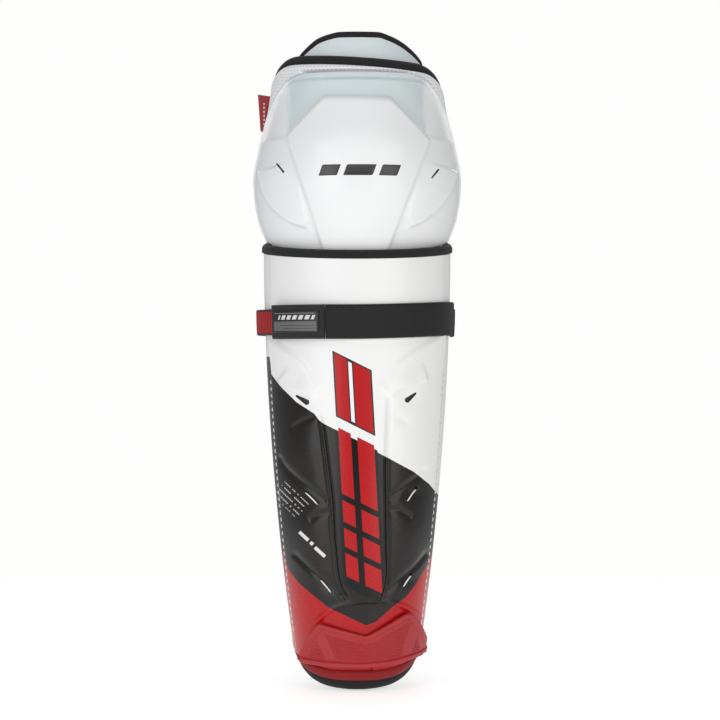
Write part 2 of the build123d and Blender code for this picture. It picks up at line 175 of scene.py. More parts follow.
def panel(name, surface, us, vs, top, bottom, radius, materials, closed=False, sharp=None):
    """A closed sheet with rounded edges between two stand-offs of a surface(u, v, stand)."""
    u, v = grid_of(us, vs)
    top, bottom = top + 0 * u, bottom + 0 * u
    mid = (top + bottom) / 2
    centre = surface(u, v, mid)
    along, across = run(centre, 0), run(centre, 1)
    edge = np.minimum(across, across[:, -1:] - across)
    if not closed:
        edge = np.minimum(edge, np.minimum(along, along[-1:] - along))
    full = np.sqrt(1 - (1 - np.clip(edge / radius, 0, 1)) ** 2)
    outer = surface(u, v, mid + (top - mid) * full)
    inner = surface(u, v, mid + (bottom - mid) * full)
    n, m = u.shape
    rows = n - 1 if closed else n
    number = np.arange(rows * m).reshape(rows, m)
    back = number + rows * m
    border = np.zeros((rows, m), bool)
    border[:, [0, -1]] = True
    if not closed:
        border[[0, -1], :] = True
    back[border] = number[border]
    i = np.arange(rows if closed else rows - 1)
    nxt = (i + 1) % rows
    quads, tint = [], []
    for layer, flip, index in ((number, False, 0), (back, True, 1)):
        corners = [layer[i][:, :-1], layer[nxt][:, :-1], layer[nxt][:, 1:], layer[i][:, 1:]]
        q = np.stack(corners, -1).reshape(-1, 4)
        quads.append(q[:, ::-1] if flip else q)
        tint.append(np.full(len(q), min(index, len(materials) - 1)))
    verts = np.concatenate([outer[:rows].reshape(-1, 3), inner[:rows].reshape(-1, 3)])
    flat = np.stack([along[:rows], across[:rows]], -1).reshape(-1, 2)
    quads = np.concatenate(quads)
    used = np.unique(quads)
    renumber = np.zeros(len(verts), int)
    renumber[used] = np.arange(len(used))
    uvs = np.concatenate([flat, flat])[used]
    obj = new_object(
        name, verts[used], renumber[quads].tolist(), materials, uvs, np.concatenate(tint), sharp
    )
    return obj, centre


def unit(v):
    return v / np.maximum(np.linalg.norm(v, axis=-1, keepdims=True), 1e-9)


def edge_of(grid, sides, reach=6):
    """The path round some sides of a grid, with the way into the grid and the grid's normal there."""
    path, inward, normal = [], [], []
    square = unit(np.cross(np.gradient(grid, axis=0), np.gradient(grid, axis=1)))
    for side in sides:
        pick = {
            "low": lambda g, n: g[:, n],
            "high": lambda g, n: g[::-1, -1 - n],
            "end": lambda g, n: g[-1 - n],
            "start": lambda g, n: g[n, ::-1],
        }[side]
        path.append(pick(grid, 0))
        inward.append(pick(grid, reach) - pick(grid, 0))
        normal.append(pick(square, reach))
    path, inward, normal = np.concatenate(path), np.concatenate(inward), np.concatenate(normal)
    keep = np.concatenate([[True], np.linalg.norm(np.diff(path, axis=0), axis=1) > 0.05])
    return path[keep], inward[keep], normal[keep]


def soften(v, times):
    """Averages each row with its neighbours."""
    for _ in range(times):
        v = np.concatenate([v[:1], (v[:-2] + 2 * v[1:-1] + v[2:]) / 4, v[-1:]])
    return v


def tape(name, edge, half, reach, material, closed=False, proud=0.7):
    """Binding tape folded over an edge: round outside, flat faces reaching some way in."""
    edge = np.concatenate([np.stack(edge, 1), np.stack(edge, 1)[:1]]) if closed else np.stack(edge, 1)
    length = run(edge[:, 0], 0)
    stations = np.linspace(0, length[-1], max(8, int(length[-1] / 1.6)))
    read = lambda row: np.stack([np.interp(stations, length, row[:, k]) for k in range(3)], -1)
    path, hint, normal = read(edge[:, 0]), read(unit(edge[:, 1])), read(edge[:, 2])
    path, normal = soften(path, 3), unit(soften(normal, 8))
    ahead = unit(np.gradient(path, axis=0))
    inward = unit(np.cross(normal, ahead))
    inward = inward * np.sign((inward * hint).sum())
    normal = unit(np.cross(ahead, inward))
    section = [(half * math.sin(a), half - half * math.cos(a) - proud) for a in np.linspace(-1.5, 1.5, 11)]
    section = [(-half, reach - 0.6), *section, (half, reach - 0.6), (half * 0.8, reach), (-half * 0.8, reach)]
    count, size = len(path), len(section)
    verts = np.concatenate(
        [path[:, None] + normal[:, None] * n + inward[:, None] * e for n, e in section], axis=1
    )
    verts = verts.reshape(-1, 3)
    faces = []
    last = count - 1 if not closed else count
    for i in range(last):
        j = (i + 1) % count
        for k in range(size):
            l = (k + 1) % size
            faces.append((i * size + k, j * size + k, j * size + l, i * size + l))
    if not closed:
        faces.append(tuple(range(size)))
        faces.append(tuple(reversed(range((count - 1) * size, count * size))))
    around = np.cumsum([0] + [math.dist(a, b) for a, b in zip(section, section[1:])])
    uvs = np.stack(np.meshgrid(stations, around, indexing="ij"), -1).reshape(-1, 2)
    obj = new_object(name, verts, faces, [material], uvs)
    fix_normals(obj)
    return obj


def bead_faces(base, rings, sides=8):
    """Faces of a closed tube whose rings of points follow one another."""
    faces = []
    for start in range(base, base + (rings - 1) * sides, sides):
        for k in range(sides):
            l = (k + 1) % sides
            faces.append((start + k, start + l, start + sides + l, start + sides + k))
    faces.append(tuple(base + k for k in reversed(range(sides))))
    faces.append(tuple(base + (rings - 1) * sides + k for k in range(sides)))
    return faces


def fix_normals(obj):
    bm = bmesh.new()
    bm.from_mesh(obj.data)
    bmesh.ops.recalc_face_normals(bm, faces=bm.faces)
    bm.to_mesh(obj.data)
    bm.free()


def joined(name, objects):
    """One object from several, keeping their meshes and materials."""
    with bpy.context.temp_override(
        active_object=objects[0], selected_editable_objects=objects, object=objects[0]
    ):
        bpy.ops.object.join()
    objects[0].name = objects[0].data.name = name
    return objects[0]


CUT_FROM_TO = (-100, -8)  # the front half of the guard


def cut(obj, prisms, material):
    """Cuts slots along Y through a panel. The walls get their own material."""
    verts, faces = [], []
    for x, z, length, wide, narrow, degrees in prisms:
        outline = []
        ends = ((length / 2 - wide / 2, wide / 2, -90), (narrow / 2 - length / 2, narrow / 2, 90))
        for end, r, first in ends:
            for a in np.radians(np.linspace(first, first + 180, 9)):
                outline.append((end + r * math.cos(a), r * math.sin(a)))
        c, s = math.cos(math.radians(degrees)), math.sin(math.radians(degrees))
        base, size = len(verts), len(outline)
        for y in CUT_FROM_TO:
            verts += [(x + p * c - q * s, y, z + p * s + q * c) for p, q in outline]
        faces.append(tuple(range(base, base + size)))
        faces.append(tuple(reversed(range(base + size, base + 2 * size))))
        for k in range(size):
            l = (k + 1) % size
            faces.append((base + l, base + k, base + size + k, base + size + l))
    cutter = new_object("cutter", verts, faces, [material])
    fix_normals(cutter)
    modifier = obj.modifiers.new("cut", "BOOLEAN")
    modifier.operation, modifier.object, modifier.solver = "DIFFERENCE", cutter, "EXACT"
    modifier.material_mode = "TRANSFER"
    bpy.context.view_layer.update()
    made = bpy.data.meshes.new_from_object(obj.evaluated_get(bpy.context.evaluated_depsgraph_get()))
    obj.modifiers.clear()
    obj.data = made
    made.set_sharp_from_angle(angle=math.radians(50))
    bpy.data.objects.remove(cutter)
    return obj


# ------------------------------------------------------------------ relief
def near(line, x, z):
    """Distance to a line of points, the same with a sign (+ on its left), and how far along it is nearest."""
    best, side, share = np.full(x.shape, 1e9), np.zeros(x.shape), np.zeros(x.shape)
    line = np.asarray(line, float)
    length = np.concatenate([[0], np.cumsum(np.linalg.norm(np.diff(line, axis=0), axis=1))])
    for k in range(len(line) - 1):
        (ax, az), (bx, bz) = line[k], line[k + 1]
        dx, dz = bx - ax, bz - az
        f = np.clip(((x - ax) * dx + (z - az) * dz) / (dx * dx + dz * dz), 0, 1)
        d = np.hypot(x - ax - f * dx, z - az - f * dz)
        s = np.sign(dx * (z - az) - dz * (x - ax))
        closer = d < best
        best = np.where(closer, d, best)
        side = np.where(closer, s, side)
        share = np.where(closer, (length[k] + f * (length[k + 1] - length[k])) / length[-1], share)
    return best, best * side, share


def curved(points, count=40):
    """A smooth line through a few points."""
    p = np.asarray(points, float)
    s = np.concatenate([[0], np.cumsum(np.linalg.norm(np.diff(p, axis=0), axis=1))])
    at = np.linspace(0, s[-1], count)
    return np.stack([through(at, s, p[:, 0]), through(at, s, p[:, 1])], -1)


def crease(x, z, line, depth, width, ends=0.12):
    d, _, f = near(line, x, z)
    return -depth * bell(d, width) * fade(f, ends)


def ledge(x, z, line, height, width, reach, ends=0.12):
    """Raised on the line's left, falling away slowly from it."""
    _, s, f = near(line, x, z)
    rise = smooth((s + width / 2) / width) * (1 - smooth((s - width) / reach))
    return height * rise * fade(f, ends)


# ------------------------------------------------------------------ materials
class Material:
    """A Principled material built from a few node helpers."""

    def __init__(self, name, color, rough, **sockets):
        self.data = bpy.data.materials.new(name)
        self.data.use_nodes = True
        self.tree = self.data.node_tree
        self.shader = self.tree.nodes["Principled BSDF"]
        self.shader.inputs["Base Color"].default_value = (*color, 1)
        self.shader.inputs["Roughness"].default_value = rough
        for socket, value in sockets.items():
            self.shader.inputs[socket.replace("_", " ")].default_value = value
        self.made = {}

    def node(self, kind, **settings):
        made = self.tree.nodes.new("ShaderNode" + kind)
        for k, v in settings.items():
            setattr(made, k, v)
        return made

    def link(self, a, b):
        self.tree.links.new(a, b)

    def feed(self, socket, value):
        if isinstance(value, bpy.types.NodeSocket):
            self.link(value, socket)
        elif isinstance(value, tuple):
            socket.default_value = (*value, 1) if len(value) == 3 and socket.type == "RGBA" else value
        else:
            socket.default_value = value

    def math(self, operation, a, b=0.0, c=0.0, clamp=False):
        made = self.node("Math", operation=operation, use_clamp=clamp)
        for socket, value in zip(made.inputs, (a, b, c)):
            self.feed(socket, value)
        return made.outputs[0]

    def mix(self, share, a, b):
        made = self.node("Mix", data_type="RGBA")
        self.feed(made.inputs[0], share)
        self.feed(made.inputs[6], a)
        self.feed(made.inputs[7], b)
        return made.outputs[2]

    def in_mm(self, socket):
        """The three parts of a vector given in metres, and the vector, in mm."""
        scale = self.node("VectorMath", operation="SCALE")
        self.link(socket, scale.inputs[0])
        scale.inputs["Scale"].default_value = 1 / MM
        split = self.node("SeparateXYZ")
        self.link(scale.outputs[0], split.inputs[0])
        return (*split.outputs, scale.outputs[0])

    def place(self):
        """Place in the row frame, in mm: x, y, z and the vector."""
        if "place" not in self.made:
            self.made["place"] = self.in_mm(self.node("TexCoord").outputs["Object"])
        return self.made["place"]

    def cloth(self):
        """Distance along and across the piece's own cloth, in mm."""
        if "cloth" not in self.made:
            self.made["cloth"] = self.in_mm(self.node("UVMap", uv_map="weave").outputs[0])[:2]
        return self.made["cloth"]

    def cells(self, scale):
        """Distance from the middle of random cells."""
        made = self.node("TexVoronoi")
        self.link(self.place()[3], made.inputs["Vector"])
        made.inputs["Scale"].default_value = scale
        return made.outputs["Distance"]

    def noise(self, scale, detail=3.0, vector=None, rough=0.5):
        """Noise whose features are about 1 / scale mm."""
        made = self.node("TexNoise")
        self.link(vector or self.place()[3], made.inputs["Vector"])
        made.inputs["Scale"].default_value = scale
        made.inputs["Detail"].default_value = detail
        made.inputs["Roughness"].default_value = rough
        return made.outputs["Fac"]

    def ribs(self, value, pitch, phase=0.0):
        """0 to 1 and back once every pitch mm."""
        turn = self.math("MULTIPLY_ADD", value, 2 * math.pi / pitch, phase)
        return self.math("MULTIPLY_ADD", self.math("SINE", turn), 0.5, 0.5)

    def bump(self, height, distance, strength=1.0, before=None):
        made = self.node("Bump")
        made.inputs["Strength"].default_value = strength
        made.inputs["Distance"].default_value = distance * MM
        self.link(height, made.inputs["Height"])
        if before is not None:
            self.link(before, made.inputs["Normal"])
        return made.outputs[0]

    def use(self, color=None, rough=None, normal=None):
        for socket, value in (("Base Color", color), ("Roughness", rough), ("Normal", normal)):
            if value is not None:
                self.feed(self.shader.inputs[socket], value)
        return self.data

    def inside(self, value, low, high):
        """1 where a value lies between two others."""
        a = self.math("GREATER_THAN", value, low)
        return self.math("MULTIPLY", a, self.math("LESS_THAN", value, high))

    def curve(self, value, points):
        """A line through (x, y) points in mm, read at value."""
        (x0, x1), (y0, y1) = ((min(c), max(c)) for c in zip(*points))
        made = self.node("FloatCurve")
        curve = made.mapping.curves[0]
        for (x, y), index in zip(points, range(len(points))):
            at = ((x - x0) / (x1 - x0), (y - y0) / (y1 - y0))
            if index == 0:
                curve.points[0].location = at
            elif index == len(points) - 1:
                curve.points[-1].location = at
            else:
                curve.points.new(*at)
        for point in curve.points:
            point.handle_type = "VECTOR"
        made.mapping.update()
        self.link(self.math("MULTIPLY_ADD", value, 1 / (x1 - x0), -x0 / (x1 - x0)), made.inputs["Value"])
        return self.math("MULTIPLY_ADD", made.outputs[0], y1 - y0, y0)


def shade(color, share):
    return tuple(min(1, c * share) for c in color)


def blended(m, amount, color, dark=0.7, scale=0.15):
    """The colour, a little darker in soft patches."""
    return m.mix(m.math("MULTIPLY", m.noise(scale, 4), amount), color, shade(color, dark))


WHITE = (0.80, 0.80, 0.795)
PRINT_BLACK = (0.0085, 0.0072, 0.0065)
PRINT_RED = (0.43, 0.003, 0.005)

# Where the print changes colour, as (x, z) lines across the front
BLACK_ABOVE = [(-85, 248), (-65.4, 248), (-64.6, 235), (-57, 225.6), (-45, 214.3), (-31.5, 205.8)]
BLACK_ABOVE += [(-28, 201), (-25, 198.8), (9.4, 181.5), (14, 178), (20.5, 174.6)]
BLACK_ABOVE += [(42, 162.6), (54, 152.7), (63, 141.3), (85, 141)]
RED_BELOW = [(-85, 101), (-56.5, 100.5), (-52, 88.5), (-43.5, 78.8), (-21.7, 62.4), (6.8, 49), (14, 51.6)]
RED_BELOW += [(27, 62.6), (36.5, 69), (44, 77.8), (54, 93), (59, 104), (85, 104)]
# The emblem: slanted blocks of a twin racing stripe on the spine, as (left, right, low, high, colour). The
# first block is the spine's printed black made darker still: painted shade where the spine catches no
# reflection.
EMBLEM = [(-15.0, 15.6, 74.0, 186.4, "spine_black_and_shade"), (-13.6, 14.6, 196.2, 243.4, "edge")]
for low, high in ((197.4, 242.2), (141.5, 189.0), (121.5, 137.0), (103.5, 117.0), (82.0, 99.0)):
    EMBLEM += [(-12.4, -3.4, low, high, "red"), (1.2, 13.4, low, high, "red")]
EMBLEM += [(-2.4, 0.2, 198.4, 241.2, "white")]


STRIPE_LEAN, STRIPE_MIDDLE, BLOCK_SLANT = -0.056, 9.5, 0.5
PRINT_TURN, ROW_PITCH, DASH_PITCH = 41, 3.6, 1.7


def print_material():
    m = Material("shell_print", WHITE, 0.3, Coat_Weight=0.12, Coat_Roughness=0.15, Specular_IOR_Level=0.3)
    x, _, z, _ = m.place()
    above = m.math("LESS_THAN", z, m.curve(x, BLACK_ABOVE))
    below = m.math("LESS_THAN", z, m.curve(x, RED_BELOW))
    color = m.mix(above, WHITE, m.mix(m.noise(0.02, 1), PRINT_BLACK, shade(PRINT_BLACK, 1.5)))
    color = m.mix(below, color, PRINT_RED)
    across = m.math("SUBTRACT", x, m.math("MULTIPLY_ADD", z, STRIPE_LEAN, STRIPE_MIDDLE))
    along = m.math("MULTIPLY_ADD", x, BLOCK_SLANT, z)
    # the darkest tint is printed black with painted shade added
    tints = {"edge": (0.030, 0.022, 0.020), "spine_black_and_shade": (0.0015, 0.0013, 0.0013), "red": PRINT_RED, "white": WHITE}
    mark = None
    for left, right, low, high, tint in EMBLEM:
        block = m.math("MULTIPLY", m.inside(across, left, right), m.inside(along, low, high))
        color = m.mix(block, color, tints[tint])
        mark = block if mark is None else m.math("MAXIMUM", mark, block)
    # rows of small pale dashes on the left, where the real one has small print
    c, s = math.cos(math.radians(PRINT_TURN)), math.sin(math.radians(PRINT_TURN))
    run_along = m.math("MULTIPLY_ADD", z, -s, m.math("MULTIPLY", x, c))
    rows = m.math("MULTIPLY_ADD", z, c, m.math("MULTIPLY", x, s))
    row = m.math("FLOOR", m.math("DIVIDE", rows, ROW_PITCH))
    in_row = m.inside(m.math("FRACT", m.math("DIVIDE", rows, ROW_PITCH)), 0.36, 0.62)
    cell = m.math("FLOOR", m.math("DIVIDE", run_along, DASH_PITCH))
    white_noise = m.node("TexWhiteNoise", noise_dimensions="2D")
    pair = m.node("CombineXYZ")
    m.link(row, pair.inputs[0])
    m.link(cell, pair.inputs[1])
    m.link(pair.outputs[0], white_noise.inputs["Vector"])
    letters = m.math("GREATER_THAN", white_noise.outputs["Value"], 0.2)
    gap = m.math("LESS_THAN", m.math("FRACT", m.math("DIVIDE", run_along, DASH_PITCH)), 0.8)
    dashes = m.math("MULTIPLY", m.math("MULTIPLY", in_row, letters), gap)
    block = m.math("MULTIPLY", m.inside(run_along, -142, -118), m.inside(rows, 66.5, 81.3))
    color = m.mix(m.math("MULTIPLY", dashes, block), color, (0.45, 0.44, 0.43))
    for start, length, low in ((-109.5, 9.0, 59.2), (-98.5, 2.6, 59.2), (-93.5, 10.0, 58.6)):
        bar = m.math("MULTIPLY", m.inside(run_along, start, start + length), m.inside(rows, low, low + 2.6))
        color = m.mix(bar, color, (0.7, 0.7, 0.69))
    scuffs = m.noise(0.9, 5, rough=0.7)
    rough = m.math("MULTIPLY_ADD", above, -0.09, 0.33)
    rough = m.math("MULTIPLY_ADD", scuffs, 0.08, rough)
    ripple = m.bump(m.noise(0.05, 2), 0.5, 0.35)
    fine = m.bump(m.noise(2.5, 2), 0.02, 0.4, ripple)
    return m.use(color, rough, fine)


def plastic_material(name, color, rough, coat=0.25, mark=None):
    m = Material(name, color, rough, Coat_Weight=coat, Coat_Roughness=0.12)
    tone = blended(m, 0.10, color, 0.9, 0.03)
    if mark:
        # the marked places are painted a cooler grey: painted shade
        tone = m.mix(m.node("Attribute", attribute_name=mark).outputs["Fac"], tone, (0.60, 0.66, 0.675))
    normal = m.bump(m.noise(3.0, 2), 0.02, 0.5, m.bump(m.noise(0.06, 2), 0.4, 0.25))
    return m.use(tone, m.math("MULTIPLY_ADD", m.noise(0.7, 5, rough=0.7), 0.12, rough - 0.06), normal)


def rubber_material(name, color):
    m = Material(name, color, 0.55)
    normal = m.bump(m.noise(4.0, 3), 0.05, 0.6)
    return m.use(blended(m, 0.5, color, 0.75, 0.08), m.math("MULTIPLY_ADD", m.noise(1.2, 4), 0.2, 0.45), normal)


def tape_material(name, color, pitch=0.9):
    """Woven binding tape, ribbed across its length with a selvedge."""
    m = Material(name, color, 0.75, Sheen_Weight=0.06, Sheen_Roughness=0.5, Specular_IOR_Level=0.3)
    along, across = m.cloth()
    weave = m.math("MULTIPLY", m.ribs(along, pitch), m.ribs(across, pitch * 0.7, 0.8))
    fuzz = m.noise(2.2, 3)
    tone = m.mix(weave, shade(color, 0.55), shade(color, 1.7))
    tone = m.mix(m.math("MULTIPLY", fuzz, 0.3), tone, color)
    return m.use(tone, 0.78, m.bump(weave, 0.16, 0.8, m.bump(fuzz, 0.1, 0.4)))


def webbing_material(name, color, edge=None, width=25.4, pitch=1.1, rib=None):
    """Woven elastic: fine rows across, and cords along it."""
    m = Material(name, color, 0.7, Sheen_Weight=0.05, Sheen_Roughness=0.45, Specular_IOR_Level=0.3)
    along, across = m.cloth()
    rows = m.ribs(along, rib or pitch)
    cords = m.ribs(across, pitch)
    weave = m.math("MULTIPLY_ADD", rows, 0.6, m.math("MULTIPLY", cords, 0.4))
    tone = m.mix(weave, shade(color, 0.6), shade(color, 1.35))
    if rib:
        tone = m.mix(m.math("LESS_THAN", rows, 0.2), tone, shade(color, 0.15))
    if edge:
        from_edge = m.math("MINIMUM", across, m.math("SUBTRACT", width, across))
        tone = m.mix(m.math("LESS_THAN", from_edge, 1.7), tone, edge)
    tone = m.mix(m.math("MULTIPLY", m.noise(0.25, 4), 0.25), tone, shade(color, 0.5))
    return m.use(tone, 0.72, m.bump(weave, 0.22, 0.8, m.bump(m.noise(2.5, 3), 0.08, 0.4)))


STAGGER = 0.577  # rows of holes stand in triangles


def dots(m, pitch, radius):
    """1 in round holes on a staggered grid."""
    along, across = m.cloth()
    best = None
    for shift in (0.0, 0.5):
        a = m.math("SUBTRACT", m.math("FRACT", m.math("MULTIPLY_ADD", along, 1 / pitch, shift)), 0.5)
        b = m.math("SUBTRACT", m.math("FRACT", m.math("MULTIPLY_ADD", across, STAGGER / pitch, shift)), 0.5)
        a = m.math("POWER", m.math("MULTIPLY", a, pitch), 2.0)
        b = m.math("POWER", m.math("MULTIPLY", b, pitch / STAGGER), 2.0)
        d = m.math("ADD", a, b)
        best = d if best is None else m.math("MINIMUM", best, d)
    return m.math("SUBTRACT", 1.0, m.math("DIVIDE", m.math("SQRT", best), radius), clamp=True)


def mesh_material(name, color, pitch=3.4, radius=0.55, hole_shade=0.25):
    """Spacer mesh: a knit with small holes, painted darker inside as painted shade."""
    m = Material(name, color, 0.65, Sheen_Weight=0.3, Sheen_Roughness=0.5)
    along, across = m.cloth()
    knit = m.math("MULTIPLY", m.ribs(along, 0.8), m.ribs(across, 0.8))
    holes = dots(m, pitch, radius)
    tone = m.mix(knit, shade(color, 0.9), color)
    # the holes are painted darker: painted shade inside them
    tone = m.mix(m.math("GREATER_THAN", holes, 0.25), tone, shade(color, hole_shade))
    normal = m.bump(m.math("MULTIPLY_ADD", knit, 0.4, m.math("SUBTRACT", 1.0, holes)), 0.28, 0.7)
    return m.use(m.mix(m.math("MULTIPLY", m.noise(0.12, 4), 0.12), tone, shade(color, 0.6)), 0.68, normal)


def cloth_material(name, color, pitch=0.7, sheen=0.3, fuzz=0.25):
    """Plain woven or brushed lining cloth."""
    m = Material(name, color, 0.8, Sheen_Weight=sheen, Sheen_Roughness=0.5)
    along, across = m.cloth()
    weave = m.math("MAXIMUM", m.ribs(along, pitch), m.ribs(across, pitch, 1.5))
    tone = m.mix(weave, shade(color, 0.72), shade(color, 1.12))
    hair = m.noise(1.8, 4, rough=0.7)
    tone = m.mix(m.math("MULTIPLY", hair, fuzz), tone, shade(color, 0.6))
    return m.use(tone, 0.82, m.bump(weave, 0.12, 0.6, m.bump(hair, 0.25, 0.5)))


def foam_material(name, color):
    """Closed-cell foam with fine pores."""
    m = Material(name, color, 0.85)
    pores = m.cells(1.6)
    return m.use(m.mix(pores, shade(color, 0.75), color), 0.88, m.bump(pores, 0.12, 0.6))


def fastener_material(name, color, scale, depth):
    """Hook or loop tape."""
    m = Material(name, color, 0.9, Sheen_Weight=0.3, Sheen_Roughness=0.6)
    tips = m.cells(scale)
    return m.use(m.mix(tips, shade(color, 1.8), shade(color, 0.5)), 0.9, m.bump(tips, depth, 0.9))


def label_material():
    """Moulded patch: a row of slanted pale bars over a grey panel with fine lines."""
    m = Material("label_rubber", (0.03, 0.03, 0.03), 0.45)
    along, across = m.cloth()
    color = m.mix(m.noise(0.4, 3), (0.012, 0.0115, 0.012), (0.018, 0.017, 0.018))
    slanted = m.math("MULTIPLY_ADD", across, -0.45, along)
    lower = m.math("MULTIPLY", m.inside(along, 1.4, 42.5), m.inside(across, 1.4, 8.4))
    color = m.mix(lower, color, (0.115, 0.115, 0.115))
    for low, start in ((5.2, 9.0), (3.0, 12.0)):
        line = m.math("MULTIPLY", m.inside(across, low, low + 0.45), m.math("GREATER_THAN", along, start))
        color = m.mix(m.math("MULTIPLY", line, lower), color, (0.035, 0.034, 0.034))
    bars = m.math("MULTIPLY", m.inside(slanted, 2.0, 36.0), m.inside(across, 9.8, 13.0))
    stripe = m.math("LESS_THAN", m.math("FRACT", m.math("DIVIDE", slanted, 5.6)), 0.68)
    bars = m.math("MULTIPLY", bars, stripe)
    color = m.mix(bars, color, (0.62, 0.62, 0.61))
    top_line = m.math("MULTIPLY", m.inside(along, 2.0, 41.0), m.inside(across, 14.2, 14.6))
    color = m.mix(top_line, color, (0.25, 0.25, 0.25))
    height = m.math("MULTIPLY_ADD", bars, 0.8, m.math("MULTIPLY", lower, 0.5))
    return m.use(color, m.math("MULTIPLY_ADD", m.noise(1.5, 3), 0.15, 0.4), m.bump(height, 0.35, 0.8))


def woven_label_material():
    """Red satin label with a few pale woven ticks."""
    m = Material("label_woven", (0.36, 0.006, 0.012), 0.5, Sheen_Weight=0.3)
    x, _, z, _ = m.place()
    rows = m.math("MULTIPLY", m.ribs(x, 0.55), m.ribs(z, 0.55))
    color = m.mix(rows, (0.27, 0.004, 0.009), (0.42, 0.008, 0.016))
    ticks = m.math("LESS_THAN", m.math("FRACT", m.math("DIVIDE", z, 3.1)), 0.55)
    ticks = m.math("MULTIPLY", m.inside(x, -71.6, -70.4), ticks)
    ticks = m.math("MULTIPLY", ticks, m.inside(z, 421.0, 441.5))
    return m.use(m.mix(ticks, color, (0.62, 0.5, 0.5)), 0.5, m.bump(rows, 0.1, 0.7))


def thread_material(name, color):
    m = Material(name, color, 0.6, Sheen_Weight=0.2)
    x, y, z, _ = m.place()
    twist = m.ribs(m.math("ADD", z, m.math("MULTIPLY", m.math("ADD", x, y), 0.8)), 0.7)
    return m.use(m.mix(twist, shade(color, 0.75), color), 0.6, m.bump(twist, 0.12, 0.8))


PRINT = print_material()
EDGE_WHITE = plastic_material("shell_edge", (0.78, 0.78, 0.77), 0.4)
# the knee plastic is painted a cooler grey in the recess over the dome: painted shade
KNEE_WHITE = plastic_material("knee_plastic", (0.80, 0.805, 0.81), 0.36, 0.15, "recess")
TOE_RED = rubber_material("toe_rubber", (0.40, 0.016, 0.022))
BUMPER_RED = cloth_material("bumper_cloth", (0.25, 0.002, 0.003), 0.6, 0.05)
TAPE_BLACK = tape_material("binding_tape", (0.012, 0.0115, 0.012))
FOAM_GREY = foam_material("core_foam", (0.05, 0.05, 0.052))
MESH_WHITE = mesh_material("pad_mesh", (0.87, 0.87, 0.885), 3.0, 0.45, 0.3)
FLAP_BLUE = cloth_material("flap_cloth", (0.68, 0.745, 0.76), 0.8, 0.1, 0.08)
LINER_GREY = cloth_material("liner_cloth", (0.075, 0.077, 0.082))
LINER_RIB = mesh_material("liner_mesh", (0.055, 0.056, 0.060), 2.8, 0.6, 0.2)
ELASTIC_RED = webbing_material("elastic_red", (0.42, 0.008, 0.014), (0.02, 0.018, 0.018), 19.5, 0.9, 2.7)
WEBBING_BLACK = webbing_material("webbing_black", (0.0125, 0.0108, 0.0118), pitch=1.3)
TAB_BLACK = cloth_material("tab_cloth", (0.012, 0.0108, 0.0112), 0.5, 0.08)
LABEL = label_material()
WOVEN_LABEL = woven_label_material()
HOOK = fastener_material("hook_tape", (0.016, 0.016, 0.016), 1.4, 0.35)
LOOP = fastener_material("loop_tape", (0.030, 0.030, 0.031), 0.8, 0.3)
WING_BLACK = mesh_material("wing_knit", (0.040, 0.040, 0.043), 3.0, 0.5, 0.35)
THREAD_WHITE = thread_material("thread_white", (0.78, 0.78, 0.76))


def finish_piece(obj, body, nodes=()):
    """Sends a finished piece to its body, and hides the CAD parts it stands in for."""
    if nodes:
        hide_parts(*nodes)
    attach(obj, body)


# ------------------------------------------------------------------ shin shell
SHELL_LOW, STRIP, STRIP_DROP = 15.0, 67.5, 0.9


def strip_edge(z):
    """How far round the stitched strip starts."""
    return STRIP - 3.0 * smooth((z - 240) / 60)


def between_edges(u, v, low, high):
    """Heights from so far above the lower edge to so far above the rim's tape."""
    y = place(shin_ring, u, 20 + 0 * u, 0)[..., 1]
    low = lower_edge(y) + low
    y = place(shin_ring, u, 328 + 0 * u, 0)[..., 1]
    high = rim(y) - RIM_TAPE + high
    return low + (high - low) * v


def shin_span(u, v):
    return between_edges(u, v, SHELL_LOW, 1.5)


